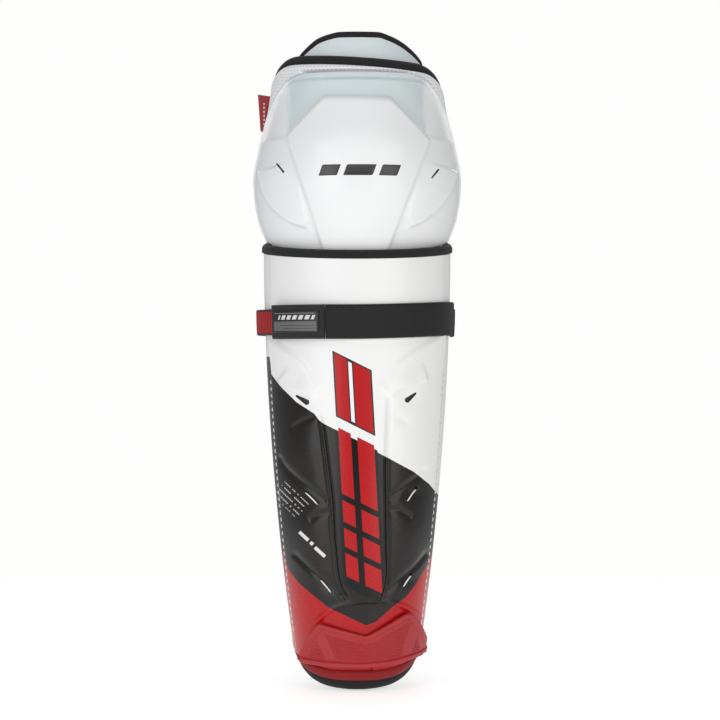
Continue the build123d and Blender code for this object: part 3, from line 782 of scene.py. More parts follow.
def shin_relief(x, z, turn):
    """The moulded shapes of the shell's face."""
    h = np.zeros_like(x)
    # rounded lobes under the strap on both sides
    round_left = [(-72, 266), (-58, 257), (-44, 247.5), (-36, 238.7), (-31.5, 229), (-30.8, 221), (-33, 214)]
    h += ledge(x, z, curved(round_left)[::-1], 2.2, 5.0, 26)
    round_right = [(72, 270), (48, 256), (36.4, 248.6), (29.5, 243), (25.5, 236), (23.8, 229), (24, 219)]
    h += ledge(x, z, curved(round_right), 2.2, 5.0, 26)
    # valleys over the upper vents, and the brow above them
    h += ledge(x, z, curved([(-60, 231), (-47, 220.5), (-38, 218.2), (-31, 214.5)]), 1.9, 4.0, 14)
    h += ledge(x, z, curved([(24, 216), (30, 221.8), (40, 226), (54, 231)]), 1.9, 4.0, 14)
    h += crease(x, z, [(24, 206.5), (33, 202), (40, 196)], 0.6, 3.0, 0.3)
    # the spine between two long grooves
    left = curved([(-29, 208), (-26.6, 198), (-21.7, 161.5), (-19.5, 144), (-17.3, 110), (-11.5, 75), (-5, 66)])
    right = curved([(24.0, 222), (23.4, 200), (22.3, 172), (22.8, 112), (22.0, 78), (17, 66)])
    h += crease(x, z, left, 1.7, 1.7, 0.06) + crease(x, z, right, 1.7, 1.7, 0.06)
    s_left, s_right = near(left, x, z)[1], near(right, x, z)[1]
    between = smooth(s_left / 4) * smooth(-s_right / 4) * smooth((215 - z) / 30) * smooth((z - 62) / 8)
    h += 1.3 * between
    # ribs that run from the grooves out to the flanks
    ribs = [
        ([(-50, 193.5), (-40, 200), (-30.5, 204.5)], 0.9, 2.2),
        ([(-60, 176), (-55, 166.5), (-44.7, 157), (-29, 146), (-21, 138)], 1.1, 2.4),
        ([(-36, 126.5), (-28, 131), (-20, 133)], 0.9, 2.2),
        ([(-50, 103), (-35, 90), (-17.5, 75.5), (-6, 67)], 1.0, 2.2),
        ([(23, 140.5), (27, 145.5), (46, 159), (53, 166)], 1.1, 2.4),
        ([(23.5, 134.5), (31, 134), (41, 127.5)], 0.9, 2.2),
        ([(54, 103), (43, 91), (29, 80), (21, 71.5)], 1.0, 2.2),
    ]
    for points, depth, width in ribs:
        h += crease(x, z, curved(points), depth, width, 0.1)
    # fields between the ribs swell a little
    swells = [(-43, 180, 13, 15, 1.0), (-38, 118, 13, 18, 0.9), (41, 118, 12, 20, 0.9), (38, 186, 11, 18, 0.5)]
    for cx, cz, wide, tall, height in swells:
        h += height * np.exp(-(((x - cx) / wide) ** 2) - (((z - cz) / tall) ** 2))
    # an arch over the toe cap, with the face below it stepped back
    arch = [(-36, 45), (-29, 52.5), (-19.5, 60), (-4, 65.5), (9, 67), (27.5, 65), (38.5, 60)]
    arch = curved(arch + [(47, 53), (52, 46)])
    _, s_arch, f_arch = near(arch, x, z)
    h -= 1.2 * smooth(-s_arch / 3.0) * fade(f_arch, 0.06) * (z < 70)
    h += crease(x, z, arch, -0.5, 1.6, 0.1)
    # a low fold under the strap
    h += crease(x, z, curved([(-62, 262), (-40, 259), (-5, 257.5), (35, 259), (58, 262)]), 0.5, 2.5, 0.15)
    # dips round the vents
    for cx, cz, *_ in VENTS:
        h -= 0.8 * np.exp(-(((x - cx) / 7) ** 2) - (((z - cz) / 5) ** 2))
    # the stitched strips along both flanks lie lower
    strip = smooth((np.abs(turn) - strip_edge(z)) / 4.0) * smooth((z - 22) / 14)
    return h * (1 - strip) - STRIP_DROP * strip


# Slots through the shell: x, z, length, width at either end, and how far they are turned in degrees
VENTS = [
    (-40.5, 216.2, 11.5, 4.2, 1.6, -31),
    (39.8, 217.9, 10.5, 4.0, 1.6, 218),
    (-33.0, 143.5, 13.5, 3.2, 2.6, -44),
    (40.3, 146.5, 13.0, 3.2, 2.6, 51),
    (-23.3, 78.3, 13.0, 2.8, 2.4, -50),
    (37.2, 81.6, 11.5, 2.8, 2.4, 52),
]


def shin_shell():
    us = np.linspace(-FLANK, FLANK, 281)
    us = np.sign(us) * FLANK * (np.abs(us) / FLANK) ** 0.97
    vs = spread(331, 0.15)
    u, v = grid_of(us, vs)
    z = shin_span(u, v)
    base = place(shin_ring, u, z, 0)
    relief = shin_relief(base[..., 0], z, u)
    surface = lambda u, v, stand: place(shin_ring, u, shin_span(u, v), stand)
    obj, _ = panel("shin_shell", surface, us, vs, relief, -SHELL, 1.2, [PRINT, EDGE_WHITE])
    cut(obj, VENTS, EDGE_WHITE)
    finish_piece(obj, "shin", ["shin_shell"])


shin_shell()


def shell_face(turn, z, stand=0.0):
    """A point on the shell's moulded face."""
    x = place(shin_ring, turn, z, 0)[..., 0]
    return place(shin_ring, turn, z, shin_relief(x, z, turn) + stand)


def stitches(name, points, normals, body, length, width, gap, thick=0.55):
    """A row of lockstitches along a line of points."""
    along = run(points, 0)
    verts, faces = [], []
    at = gap / 2
    while at < along[-1] - gap / 2:
        middle = np.array([np.interp(at, along, points[:, k]) for k in range(3)])
        ahead = unit(np.array([np.interp(at + 1, along, points[:, k]) for k in range(3)]) - middle)
        out = unit(np.array([np.interp(at, along, normals[:, k]) for k in range(3)]))
        side = unit(np.cross(ahead, out))
        base = len(verts)
        rings = [(-0.5, 0.35, -0.5), (-0.36, 0.85, 0.5), (0.0, 1.0, 0.9), (0.36, 0.85, 0.5), (0.5, 0.35, -0.5)]
        for share, wide, high in rings:
            for a in np.linspace(0, 2 * np.pi, 8, endpoint=False):
                verts.append(
                    middle + ahead * share * length + side * math.cos(a) * wide * width / 2
                    + out * (math.sin(a) * thick / 2 * wide + high * thick / 2)
                )
        faces += bead_faces(base, len(rings))
        at += gap
    obj = new_object(name, verts, faces, [THREAD_WHITE])
    fix_normals(obj)
    finish_piece(obj, body)


def shell_stitches(name, side):
    z = np.linspace(40, 232 if side < 0 else 250, 160)
    turn = side * (71.8 if side < 0 else 70.8)
    points = shell_face(turn, z, 0.1)
    normals = shell_face(turn, z, 3.0) - points
    stitches(name, points, normals, "shin", 3.2, 2.6, 5.2)


def vent_lips():
    """The white moulded lip beside each of the four lower vents."""
    verts, faces = [], []
    for (ax, az), (bx, bz) in VENT_LIPS:
        base = len(verts)
        for f in np.linspace(0, 1, LIP_RINGS):
            x, z = ax + (bx - ax) * f, az + (bz - az) * f
            turn = math.degrees(math.asin(x / shin_ring(z)[0]))
            half = 0.55 * min(1, 4 * f + 0.4, 4 * (1 - f) + 0.4)
            middle = shell_face(np.array(turn), np.array(z), 0.25)
            out = unit(shell_face(np.array(turn), np.array(z), 3.0) - middle)
            side = unit(np.cross(out, np.array([bx - ax, 0, bz - az])))
            for a in np.linspace(0, 2 * np.pi, 8, endpoint=False):
                verts.append(middle + side * math.cos(a) * half + out * math.sin(a) * 0.5)
        faces += bead_faces(base, LIP_RINGS)
    obj = new_object("vent_lips", verts, faces, [EDGE_WHITE])
    fix_normals(obj)
    finish_piece(obj, "shin")


LIP_RINGS = 15
VENT_LIPS = [((-38.3, 147.2), (-29.2, 138.6)), ((43.8, 149.2), (37.2, 140.8)), ((-27.5, 82.2), (-19.4, 73.4))]
VENT_LIPS += [((40.4, 84.6), (34.6, 77.0))]
vent_lips()
shell_stitches("stitches_left", -1)
shell_stitches("stitches_right", 1)


# ------------------------------------------------------------------ shin: foam, bindings, bumper and toe cap
def foam_span(u, v):
    return between_edges(u, v, 16.5, 0.0)


def shin_foam():
    us, vs = np.linspace(-FLANK + 1.5, FLANK - 1.5, 90), spread(90, 0.3)
    u, v = grid_of(us, vs)
    z = foam_span(u, v)
    back = -(SHELL + GLUE + 3.2 + (FOAM - 3.2) * smooth((305 - z) / 25))
    surface = lambda u, v, stand: place(shin_ring, u, foam_span(u, v), stand)
    obj, _ = panel("shin_foam", surface, us, vs, -SHELL - GLUE, back + 0.3, 3.0, [FOAM_GREY])
    finish_piece(obj, "shin", ["shin_foam"])


shin_foam()


def shin_tape(name, end, height, stand, half, reach, down, tuck=0.0):
    """Binding round the shin's upper or lower edge."""
    turns = np.linspace(-end, end, 160)
    stand = stand - tuck * smooth((np.abs(turns) - 30) / 45)
    y = place(shin_ring, turns, np.full_like(turns, height(0.0)), stand)[..., 1]
    path = place(shin_ring, turns, height(y), stand)
    inward = np.zeros_like(path)
    inward[:, 2] = -1.0 if down else 1.0
    normal = place(shin_ring, turns, height(y), stand + 5) - path
    obj = tape(name, (path, inward, normal), half, reach, TAPE_BLACK, proud=0.2)
    finish_piece(obj, "shin", [name])


shin_tape("rim_binding", 98, rim, -3.3, 3.9, RIM_TAPE, True)
shin_tape("bottom_binding", 97, lower_edge, -5.6, 5.2, 7.6, False, tuck=2.6)


BUMPER_LOW, BUMPER_TALL = 6.3, 9.6


def toe_bumper():
    us, vs = np.linspace(-88, 88, 120), spread(16, 0.5)

    def surface(u, v, stand):
        y = place(shin_ring, u, 10 + 0 * u, 0)[..., 1]
        return place(shin_ring, u, lower_edge(y) + BUMPER_LOW + BUMPER_TALL * v, stand)

    u, v = grid_of(us, vs)
    swell = 0.9 * np.sin(np.pi * v) - 1.8 * smooth((np.abs(u) - 30) / 45)
    obj, _ = panel("toe_bumper", surface, us, vs, swell - 0.6, -9.5, 3.5, [BUMPER_RED])
    finish_piece(obj, "shin", ["toe_bumper"])


toe_bumper()

# The toe cap's upper and lower outlines, as (x, z) lines from its left to its right corner
CAP_TOP = [(-41.8, 20.5), (-41, 26), (-37.6, 35), (-27.5, 49.8), (-24, 49.2), (5.5, 41.5), (9, 42.2)]
CAP_TOP += [(34, 56), (37.5, 57), (40, 55.5), (46.5, 46), (49.8, 37), (51, 29), (51.2, 24)]
CAP_LOW = [(-41.8, 20.5), (-39.5, 18.6), (-20, 17.4), (5, 17.0), (24, 18.4), (46, 22.4), (51.2, 24)]


def cap_relief(x, z):
    """Lip, inner panel with fine ribs, and two smooth slanted bars."""
    d_top, _, _ = near(CAP_TOP, x, z)
    from_low = z - np.interp(x, *zip(*CAP_LOW))
    h = 3.3 + 0 * x
    groove = bell(d_top - 3.4, 0.7)
    h -= 0.9 * groove + 0.9 * smooth((d_top - 3.4) / 1.0)
    h += 0.35 * bell(d_top - 5.2, 0.8)
    h += 0.9 * (1 - smooth((from_low - 3.2) / 1.2)) - 0.5 * bell(from_low - 4.2, 0.6)
    bar_left = np.abs((x + 21.5) - (z - 30) * -0.46)
    bar_right = np.abs((x - 37.0) - (z - 33) * 0.30)
    bars = np.maximum(1 - smooth((bar_left - 3.4) / 0.8), 1 - smooth((bar_right - 3.4) / 0.8))
    inner = smooth((d_top - 5.6) / 1.0) * smooth((from_low - 4.8) / 1.0)
    field = inner * (1 - bars)
    h += 0.30 * bars * inner
    h += 0.26 * np.sin(2 * np.pi * (z + 0.04 * x) / 1.45) * field
    return h


def toe_cap():
    us, vs = np.linspace(-41.8, 51.2, 240), spread(190, 0.2)
    low = lambda x: np.interp(x, *zip(*CAP_LOW))
    high = lambda x: np.interp(x, *zip(*CAP_TOP)) + 0.02

    def surface(u, v, stand):
        z = low(u) + (high(u) - low(u)) * v
        return place(shin_ring, turn_at(u, shin_ring(z)[0], 1), z, stand)

    u, v = grid_of(us, vs)
    z = low(u) + (high(u) - low(u)) * v
    obj, _ = panel("toe_cap", surface, us, vs, cap_relief(u, z), 0.0, 1.3, [TOE_RED])
    finish_piece(obj, "shin", ["toe_cap"])


toe_cap()


# ------------------------------------------------------------------ straps
STRAP_LOW, STRAP_WIDTH, ELASTIC_LOW, ELASTIC_WIDTH = 261.0, 25.4, 264.0, 19.5
TAB_STAND, STRAP_THICK, ELASTIC_THICK = 3.7, 1.8, 1.6
LOWER_LOW, LOWER_WIDTH = 74.0, 30.0
INSIDE = -(SHELL + GLUE + FOAM)


def rise(u):
    """The front strap climbs a little towards the right flank."""
    return 3.0 * smooth((u + 5) / 90)


def strip(name, body, fabric, ends, band, stand, thick, radius=0.7, across=14, lift=None):
    """A flat strap round the ring between two angles. Its stand-off is a number or a function of the angle."""
    (start, end), (low, width), (material, slot) = ends, band, fabric
    us, vs = np.linspace(start, end, max(10, int(abs(end - start) * 1.4))), spread(across, 0.5)
    u, v = grid_of(us, vs)
    inner = (stand(u) if callable(stand) else stand + 0 * u) + 0 * v
    crown = 0.15 * np.sin(np.pi * v)
    lift = lift or (lambda u: 0 * u)
    surface = lambda u, v, s: place(shin_ring, u, low + width * v + lift(u), s)
    obj, _ = panel(name, surface, us, vs, inner + thick + crown, inner, radius, [material])
    finish_piece(obj, body, [name])


def behind(u):
    return 180 - np.abs(180 - np.mod(u, 360))


def front_stand(u):
    return 0.9 + (TAB_STAND - 0.9) * smooth((2 - u) / 22)


def anchor_stand(u):
    return 0.6 + 3.4 * smooth((np.abs(u) - 62) / 25)


def rear_stand(u):
    flank = np.where(np.mod(u, 360) > 180, 4.0, 1.8)
    return flank + (18.5 - flank) * smooth((behind(u) - 96) / 62)


def lower_stand(u):
    return INSIDE - 3.5 + 14 * smooth((behind(u) - 92) / 80)


STRAP, ELASTIC = (STRAP_LOW, STRAP_WIDTH), (ELASTIC_LOW, ELASTIC_WIDTH)
LOWER = (LOWER_LOW, LOWER_WIDTH)
WEB, TAB = (WEBBING_BLACK, "webbing_black"), (TAB_BLACK, "webbing_black")
RED, MOULDED = (ELASTIC_RED, "elastic_red"), (LABEL, "label_rubber")
HOOKS, LOOPS = (HOOK, "hook_tape"), (LOOP, "loop_tape")
REAR_END = 360 - FLANK - 0.6

strip("front_strap", "front_strap", WEB, (-18.05, 84), STRAP, front_stand, STRAP_THICK, lift=rise)
strip("strap_tab", "strap_tab", TAB, (-57, -18.15), STRAP, TAB_STAND, STRAP_THICK, across=22)
strip(
    "strap_label", "strap_tab", MOULDED, (-54, -21.5), (STRAP_LOW + 4.6, 16.2),
    TAB_STAND + STRAP_THICK + 0.1, 0.75, 0.5, across=20,
)
strip("tab_hook_patch", "strap_tab", HOOKS, (-55, -39), (STRAP_LOW + 3.5, 18.4), TAB_STAND - 1.05, 1.0, 0.4)
strip("strap_anchor", "shin", RED, (-FLANK, -40), ELASTIC, anchor_stand, ELASTIC_THICK)

strip("rear_strap", "rear_strap", RED, (FLANK + 8, REAR_END), ELASTIC, rear_stand, ELASTIC_THICK)
strip(
    "rear_strap_tab", "rear_strap", TAB, (86.5, FLANK + 7.8), (ELASTIC_LOW - 1, ELASTIC_WIDTH + 2),
    lambda u: rear_stand(u) + 0.05, 1.5,
)
strip("rear_hook_patch", "rear_strap", HOOKS, (86.8, FLANK - 2), ELASTIC, 0.95, 0.6, 0.3)
strip("flank_loop_patch", "shin", LOOPS, (86.5, FLANK - 0.5), ELASTIC, -1.55, 2.1, 0.3)

strip("lower_strap", "lower_strap", WEB, (FLANK + 4, REAR_END), LOWER, lower_stand, ELASTIC_THICK)
strip(
    "lower_strap_tab", "lower_strap", TAB, (82, FLANK + 3.8), (LOWER_LOW - 0.5, LOWER_WIDTH + 1),
    lower_stand, 1.2,
)
strip(
    "lower_hook_patch", "lower_strap", HOOKS, (82.5, FLANK - 2), (LOWER_LOW + 2, LOWER_WIDTH - 4),
    INSIDE - 1.7, 0.7, 0.3,
)
strip("lower_loop_patch", "shin", LOOPS, (79, FLANK - 1.5), LOWER, INSIDE - 0.6, 0.5, 0.25)
strip("lower_strap_anchor", "shin", WEB, (-FLANK + 1, -80), LOWER, INSIDE - 1.7, 1.6)


PATCH_ROWS, PATCH_TURNS, PATCH_PITCH = (48, 236), (-34, 34), 22


def patches(name, body, fabric, stand, thick, size, height):
    """Four small patches of hook or loop tape."""
    made, (material, slot) = [], fabric
    inset = (PATCH_PITCH - height) / 2
    for z in PATCH_ROWS:
        for turn in PATCH_TURNS:
            us = np.linspace(turn - size, turn + size, 12)
            vs = np.linspace(z + inset, z + PATCH_PITCH - inset, 12)
            surface = lambda u, v, s: place(shin_ring, u, v, s)
            obj, _ = panel(f"{name}_{len(made)}", surface, us, vs, stand + thick, stand, 0.4, [material])
            made.append(obj)
    finish_piece(joined(name, made), body, [name])


patches("liner_hook_patches", "shin", HOOKS, INSIDE - 1.1, 1.0, 9, 22)


# ------------------------------------------------------------------ calf wings
WING_REAR = [(124, 24), (130, 36), (142, 46), (190, 58.5), (250, 63.5), (300, 58), (314, 47), (320, 30)]
WING_LOW, WING_HIGH = 125.0, 319.0
WING_SEAM, WING_INSET = 101, 6


def wing(side, name):
    """Padded calf wing with two sewn channels, and its binding."""
    us, vs = spread(46, 0.4), spread(110, 0.35)
    u, v = grid_of(us, vs)

    def surface(u, v, stand):
        z = WING_LOW + (WING_HIGH - WING_LOW) * v
        b = shin_ring(z)[1]
        rear = through(z, *zip(*WING_REAR))
        front = (b - WING_INSET) * REAR_REACH * -math.cos(math.radians(WING_SEAM))
        y = front + (rear - front) * u
        turn = np.degrees(np.arccos(np.clip(-y / ((b - 5.5) * REAR_REACH), -1, 1)))
        point = place(shin_ring, turn, z, stand)
        point[..., 0] *= side
        return point

    channels = sum(bell(u - c, 0.035) for c in (0.36, 0.68)) * fade(v, 0.08)
    crown = pillow(u, v, 0.3, 0.1)
    wrinkle = 0.25 * np.sin(v * 41 + 3 * np.sin(u * 5)) * np.sin(np.pi * u)
    top = -2.0 + 1.0 * crown - 1.3 * channels + wrinkle * 0.5
    bottom = -9.0 - 1.0 * crown + 1.6 * channels + wrinkle
    obj, grid = panel(f"wing_{name}", surface, us, vs, top, bottom, 3.5, [WING_BLACK])
    if side < 0:
        fix_normals(obj)
    body = f"{name}_wing"
    finish_piece(obj, body, [f"wing_{name}"])
    edge = edge_of(grid, ["low", "end", "high"])
    rim_tape = tape(f"wing_binding_{name}", edge, 3.4, 5.5, TAPE_BLACK)
    finish_piece(rim_tape, body, [f"wing_binding_{name}"])


wing(1, "right")
wing(-1, "left")


# ------------------------------------------------------------------ liner
LINER_OUTER, LINER_BASE, LINER_PAD = INSIDE - 2.5, 3.0, 8.0
LINER_LOW, LINER_TALL, LINER_TURN = 15, 275, 60


def liner_base():
    us, vs = spread(70, 0.3), spread(90, 0.3)

    def surface(u, v, stand):
        z = LINER_LOW + LINER_TALL * v
        cut_in = 8 * smooth((40 - z) / 26) + 8 * smooth((z - 262) / 30)
        turn = (2 * u - 1) * (LINER_TURN - cut_in)
        return place(shin_ring, turn, z, stand)

    obj, grid = panel("liner_base", surface, us, vs, LINER_OUTER, LINER_OUTER - LINER_BASE, 1.4, [LINER_GREY])
    finish_piece(obj, "liner", ["liner_base"])
    edge = edge_of(grid, ["low", "end", "high", "start"])
    binding = tape("liner_edge_tape", edge, 2.0, 5.0, TAPE_BLACK, closed=True, proud=0.3)
    finish_piece(binding, "liner")


def liner_pad(name, start, end):
    made = []
    face = LINER_OUTER - LINER_BASE - 0.1
    for low, high in ((40, 112), (117, 194), (199, 276)):
        us, vs = spread(30, 0.4), spread(46, 0.4)
        u, v = grid_of(us, vs)
        surface = lambda u, v, s: place(shin_ring, start + (end - start) * u, low + (high - low) * v, s)
        crown = pillow(u, v, 0.35, 0.2)
        groove = bell(u - 0.5, 0.05) * fade(v, 0.15)
        depth = face - LINER_PAD + 1.8 - 1.8 * crown + 1.2 * groove
        obj, _ = panel(f"{name}_{low}", surface, us, vs, face, depth, 3.0, [LINER_RIB])
        made.append(obj)
    finish_piece(joined(name, made), "liner", [name])


liner_base()
liner_pad("liner_pad_left", -56, -22)
liner_pad("liner_pad_middle", -18, 18)
liner_pad("liner_pad_right", 22, 56)
patches("liner_loop_patches", "liner", LOOPS, LINER_OUTER + 0.1, 1.0, 8, 20)


# ------------------------------------------------------------------ knee cup
# How far round the cup reaches, as (z, degrees)
KNEE_REACH = [(300, 92), (381, 91), (406, 85), (418, 80.5), (430, 75.5), (443, 65), (450, 57)]
KNEE_REACH += [(455.5, 47), (458.6, 36)]
CUP_TOP, CUP_LOW, CUP_RADIUS = 458.6, 308.0, 72
# The dome's outline, clockwise, as (x, z)
DOME = [(-22.5, 318), (-52.5, 411), (-25, 439), (25, 438), (54.5, 408), (20, 318)]


def within(outline, x, z, round_off):
    """Distance inside a convex outline given clockwise, with its corners rounded off."""
    total = 0
    for (ax, az), (bx, bz) in zip(outline, outline[1:] + outline[:1]):
        far = math.hypot(bx - ax, bz - az)
        total = total + np.exp(-((bz - az) * (x - ax) - (bx - ax) * (z - az)) / far / round_off)
    return -round_off * np.log(total)


def cup_turn(u, z):
    return u * through(z, *zip(*KNEE_REACH))


def cup_height(u, v):
    low_turn = u * 92
    edge = place(knee_ring, low_turn, 330 + 0 * u, 0)
    side = smooth((np.abs(edge[..., 0]) - 40) / 9)
    seat = rim(edge[..., 1]) + 0.4 - 1.8 * smooth((82 - np.abs(low_turn)) / 30)
    low = CUP_LOW + (seat - CUP_LOW) * side
    return low + (CUP_TOP - low) * v


def cup_recess(x, z):
    """1 in the recess over the dome, and how far outside the dome a point is."""
    out = -within(DOME, x, z, 0.9)
    return smooth(out / 2.6) * smooth((52 - np.abs(x)) / 1.4) * smooth((z - 408.5) / 4.5), out


def cup_relief(x, z, from_edge):
    """A dome in the middle, a recess over it, facets at its shoulders and a curved step on each side."""
    recess, out = cup_recess(x, z)
    h = 2.4 * smooth((1.2 - out) / 3.4) + 2.0 * smooth(-out / 30)
    h -= (3.0 - 1.0 * smooth((out - 3) / 14)) * recess
    facet = smooth((np.abs(x) - 51.4) / 1.2) * smooth((z - 408.5) / 4.5)
    h -= (0.8 + 0.10 * np.clip(np.abs(x) - 52, 0, 14)) * facet
    for line in (
        [(-74, 387), (-71, 375), (-65.7, 363), (-57.5, 354), (-48.5, 347.5), (-36, 343)],
        [(38, 343.5), (48, 348), (57, 355), (66, 366), (72, 378), (74.5, 388)],
    ):
        smooth_line = curved(line)
        h += ledge(x, z, smooth_line, 2.4, 3.2, 26, 0.04) * smooth(out / 4)
        h += 0.8 * np.exp(-((near(smooth_line, x, z)[0] / 1.7) ** 2)) * smooth(out / 3)
    flange = 1 - smooth((from_edge - 4.0) / 1.3)
    h = h * (1 - flange) + 1.1 * flange
    return h - 0.9 * bell(from_edge - 5.2, 0.8)


def paint_recess_shade(obj):
    """Marks the recess over the dome, where the knee plastic is painted a cooler grey as painted shade."""
    at = np.zeros(len(obj.data.vertices) * 3)
    obj.data.vertices.foreach_get("co", at)
    x, y, z = (at.reshape(-1, 3) / MM).T
    recess, _ = cup_recess(x, z)
    mark = obj.data.attributes.new("recess", "FLOAT", "POINT")
    mark.data.foreach_set("value", (recess * (y < -20)).astype(np.float32))


def knee_shell():
    us, vs = np.linspace(-1, 1, 221), spread(201, 0.15)
    u, v = grid_of(us, vs)
    z = cup_height(u, v)
    turn = cup_turn(u, z)
    base = place(knee_ring, turn, z, 0)
    reach = through(z, *zip(*KNEE_REACH))
    from_side = (1 - np.abs(u)) * np.radians(reach) * CUP_RADIUS
    from_top = CUP_TOP - z
    from_edge = np.where(z < 334, from_side, np.minimum(from_side, from_top))
    relief = cup_relief(base[..., 0], z, from_edge)
    surface = lambda u, v, s: place(knee_ring, cup_turn(u, cup_height(u, v)), cup_height(u, v), s)
    inner = np.minimum(relief, 0) - KNEE_SHELL
    obj, _ = panel("knee_shell", surface, us, vs, relief, inner, 1.1, [KNEE_WHITE])
    paint_recess_shade(obj)
    cut(obj, [(-56.8, 387.6, 9.6, 1.5, 1.1, -52), (57.9, 383.4, 9.0, 1.4, 1.1, 52)], TAPE_BLACK)
    finish_piece(obj, "knee", ["knee_shell"])


knee_shell()


BADGE_PRINT = plastic_material("badge_print", (0.016, 0.016, 0.016), 0.35)


def knee_badge():
    """A small generic mark on the cup: three slanted black bars."""
    made = []
    for k, (left, wide) in enumerate(((-26, 14), (-9, 22), (16, 14))):
        us, vs = np.linspace(0, 1, 14), np.linspace(0, 1, 8)

        def surface(u, v, s):
            z = 379.6 + 9.2 * v
            x = left + wide * u + 3.2 * (v - 0.5)
            far_from_edge = np.full_like(x, 40.0)
            return place(knee_ring, turn_at(x, knee_ring(z)[0], 1), z, cup_relief(x, z, far_from_edge) + s)

        obj, _ = panel(f"badge_{k}", surface, us, vs, 0.12, -0.3, 0.15, [BADGE_PRINT])
        made.append(obj)
    finish_piece(joined("knee_badge", made), "knee")


knee_badge()


def knee_pad():
    us, vs = spread(120, 0.3), spread(110, 0.35)

    def span(u, v):
        turn = (2 * u - 1) * 104
        y = place(knee_ring, turn, 350 + 0 * u, -7)[..., 1]
        low = np.interp(y, [-110, -4, 40], [338.5, 338.5, 361])
        y = place(knee_ring, turn, 450 + 0 * u, -7)
        high = knee_top(y[..., 1], y[..., 0]) - 1.0
        return turn, low + (high - low) * v

    def surface(u, v, stand):
        turn, z = span(u, v)
        return place(knee_ring, turn, z, stand)

    u, v = grid_of(us, vs)
    turn, z = span(u, v)
    reach = through(np.clip(z, 300, CUP_TOP), *zip(*KNEE_REACH))
    free = np.maximum(smooth((np.abs(turn) - reach - 1) / 6), smooth((z - CUP_TOP) / 3))
    top = -KNEE_SHELL - GLUE - 2.5 + 4.7 * free
    bottom = -KNEE_SHELL - GLUE - KNEE_PAD + 0.3
    obj, _ = panel("knee_pad", surface, us, vs, top, bottom, 3.2, [MESH_WHITE])
    finish_piece(obj, "knee", ["knee_pad"])


knee_pad()


def knee_skirt():
    low, tall = 307, 32.5
    heights, widths, depths = [low, 325, 338.8], [61.0, 63.2, 64.6], [53.4, 58.4, 65.6]
    skirt_ring = lambda z: (through(z, heights, widths), through(z, heights, depths))
    us, vs = np.linspace(-87, 87, 120), spread(24, 0.3)
    surface = lambda u, v, s: place(skirt_ring, u, low + tall * v, s)
    obj, grid = panel("knee_skirt", surface, us, vs, 0.0, -1.5, 0.7, [MESH_WHITE])
    finish_piece(obj, "knee", ["knee_skirt"])


knee_skirt()


def knee_tape():
    turns = np.linspace(-99, 99, 220)
    base = place(knee_ring, turns, 462 + 0 * turns, -6.4)
    z = knee_top(base[:, 1], base[:, 0]) + 5.6
    path = place(knee_ring, turns, z, -6.4)
    inward = place(knee_ring, turns, z - 5, -6.4) - path
    normal = place(knee_ring, turns, z, 0) - path
    obj = tape("knee_binding", (path, inward, normal), 5.0, 7.0, TAPE_BLACK, proud=0.0)
    finish_piece(obj, "knee", ["knee_binding"])


knee_tape()


def ring_pad():
    """Padded ring behind the cup, with an oval well for the kneecap."""
    us, vs = np.linspace(0, 2 * np.pi, 97), spread(26, 0.4)
    outer = -KNEE_SHELL - GLUE - KNEE_PAD - 0.4

    def surface(u, v, stand):
        c, s = np.cos(u), np.sin(u)
        far = 1 / (np.abs(c / 50) ** 4 + np.abs(s / 33) ** 4) ** 0.25
        close = 1 / np.hypot(c / 24, s / 22)
        r = close + (far - close) * v
        x, z = -r * c, 378 + r * s
        return place(knee_ring, turn_at(x, knee_ring(z)[0] + stand, 0.95), z, stand)

    u, v = grid_of(us, vs)
    crown = fade(v, 0.4)
    inner = outer - 7.2 - 1.6 * crown
    obj, _ = panel("knee_ring_pad", surface, us, vs, outer, inner, 3.5, [LINER_RIB], closed=True)
    fix_normals(obj)
    finish_piece(obj, "knee", ["knee_ring_pad"])


ring_pad()


LABEL_LOW, LABEL_TALL = 420.5, 27.6


def side_label():
    """Folded woven label on the left, curling a little."""
    us, vs = spread(10, 0.3), spread(30, 0.2)

    def surface(u, v, stand):
        z = LABEL_LOW + LABEL_TALL * v
        left = np.interp(z, [LABEL_LOW, 448.5], [-73.8, -75.8])
        right = np.interp(z, [LABEL_LOW, 421.5, 432.5, 448.5], [-72.4, -71.8, -68.6, -66.0])
        x = left + (right - left) * u
        y = 2.4 + stand + 0.8 * np.sin(v * 3.0)
        return np.stack([x, y, z - 1.4 * u], -1)

    obj, _ = panel("side_label", surface, us, vs, -0.55, 0.55, 0.4, [WOVEN_LABEL])
    finish_piece(obj, "knee", ["side_label"])


side_label()


GUSSET_LOW, GUSSET_HIGH = 264, 351


def gusset(side, name):
    """Elastic between the cup and the shin's flank."""
    us, vs = np.linspace(89.5, 101, 14), spread(60, 0.3)

    def surface(u, v, stand):
        z = GUSSET_LOW + (GUSSET_HIGH - GUSSET_LOW) * v
        off = np.interp(z, [GUSSET_LOW, 290, 308, GUSSET_HIGH], [-10.7, -10.9, -12.6, -13.5])
        point = place(shin_ring, u, z, off + stand)
        point[..., 0] *= side
        return point

    obj, _ = panel(f"knee_gusset_{name}", surface, us, vs, -0.05, -1.4, 0.6, [WEBBING_BLACK])
    if side < 0:
        fix_normals(obj)
    finish_piece(obj, "shin", [f"knee_gusset_{name}"])


gusset(1, "right")
gusset(-1, "left")


# ------------------------------------------------------------------ thigh flap
FLAP_LEFT = [(424, -44), (438, -50.5), (452, -51), (471, -45), (481, -36), (487.5, -26), (490.6, -14)]
FLAP_RIGHT = [(424, 44), (438, 51.5), (450, 53), (466, 50.5), (478, 41), (486, 29), (490.6, 17)]
FLAP_OUTER, FLAP_THICK = -11.9, 4.8
FLAP_LOW, FLAP_TALL = 424.5, 66.0


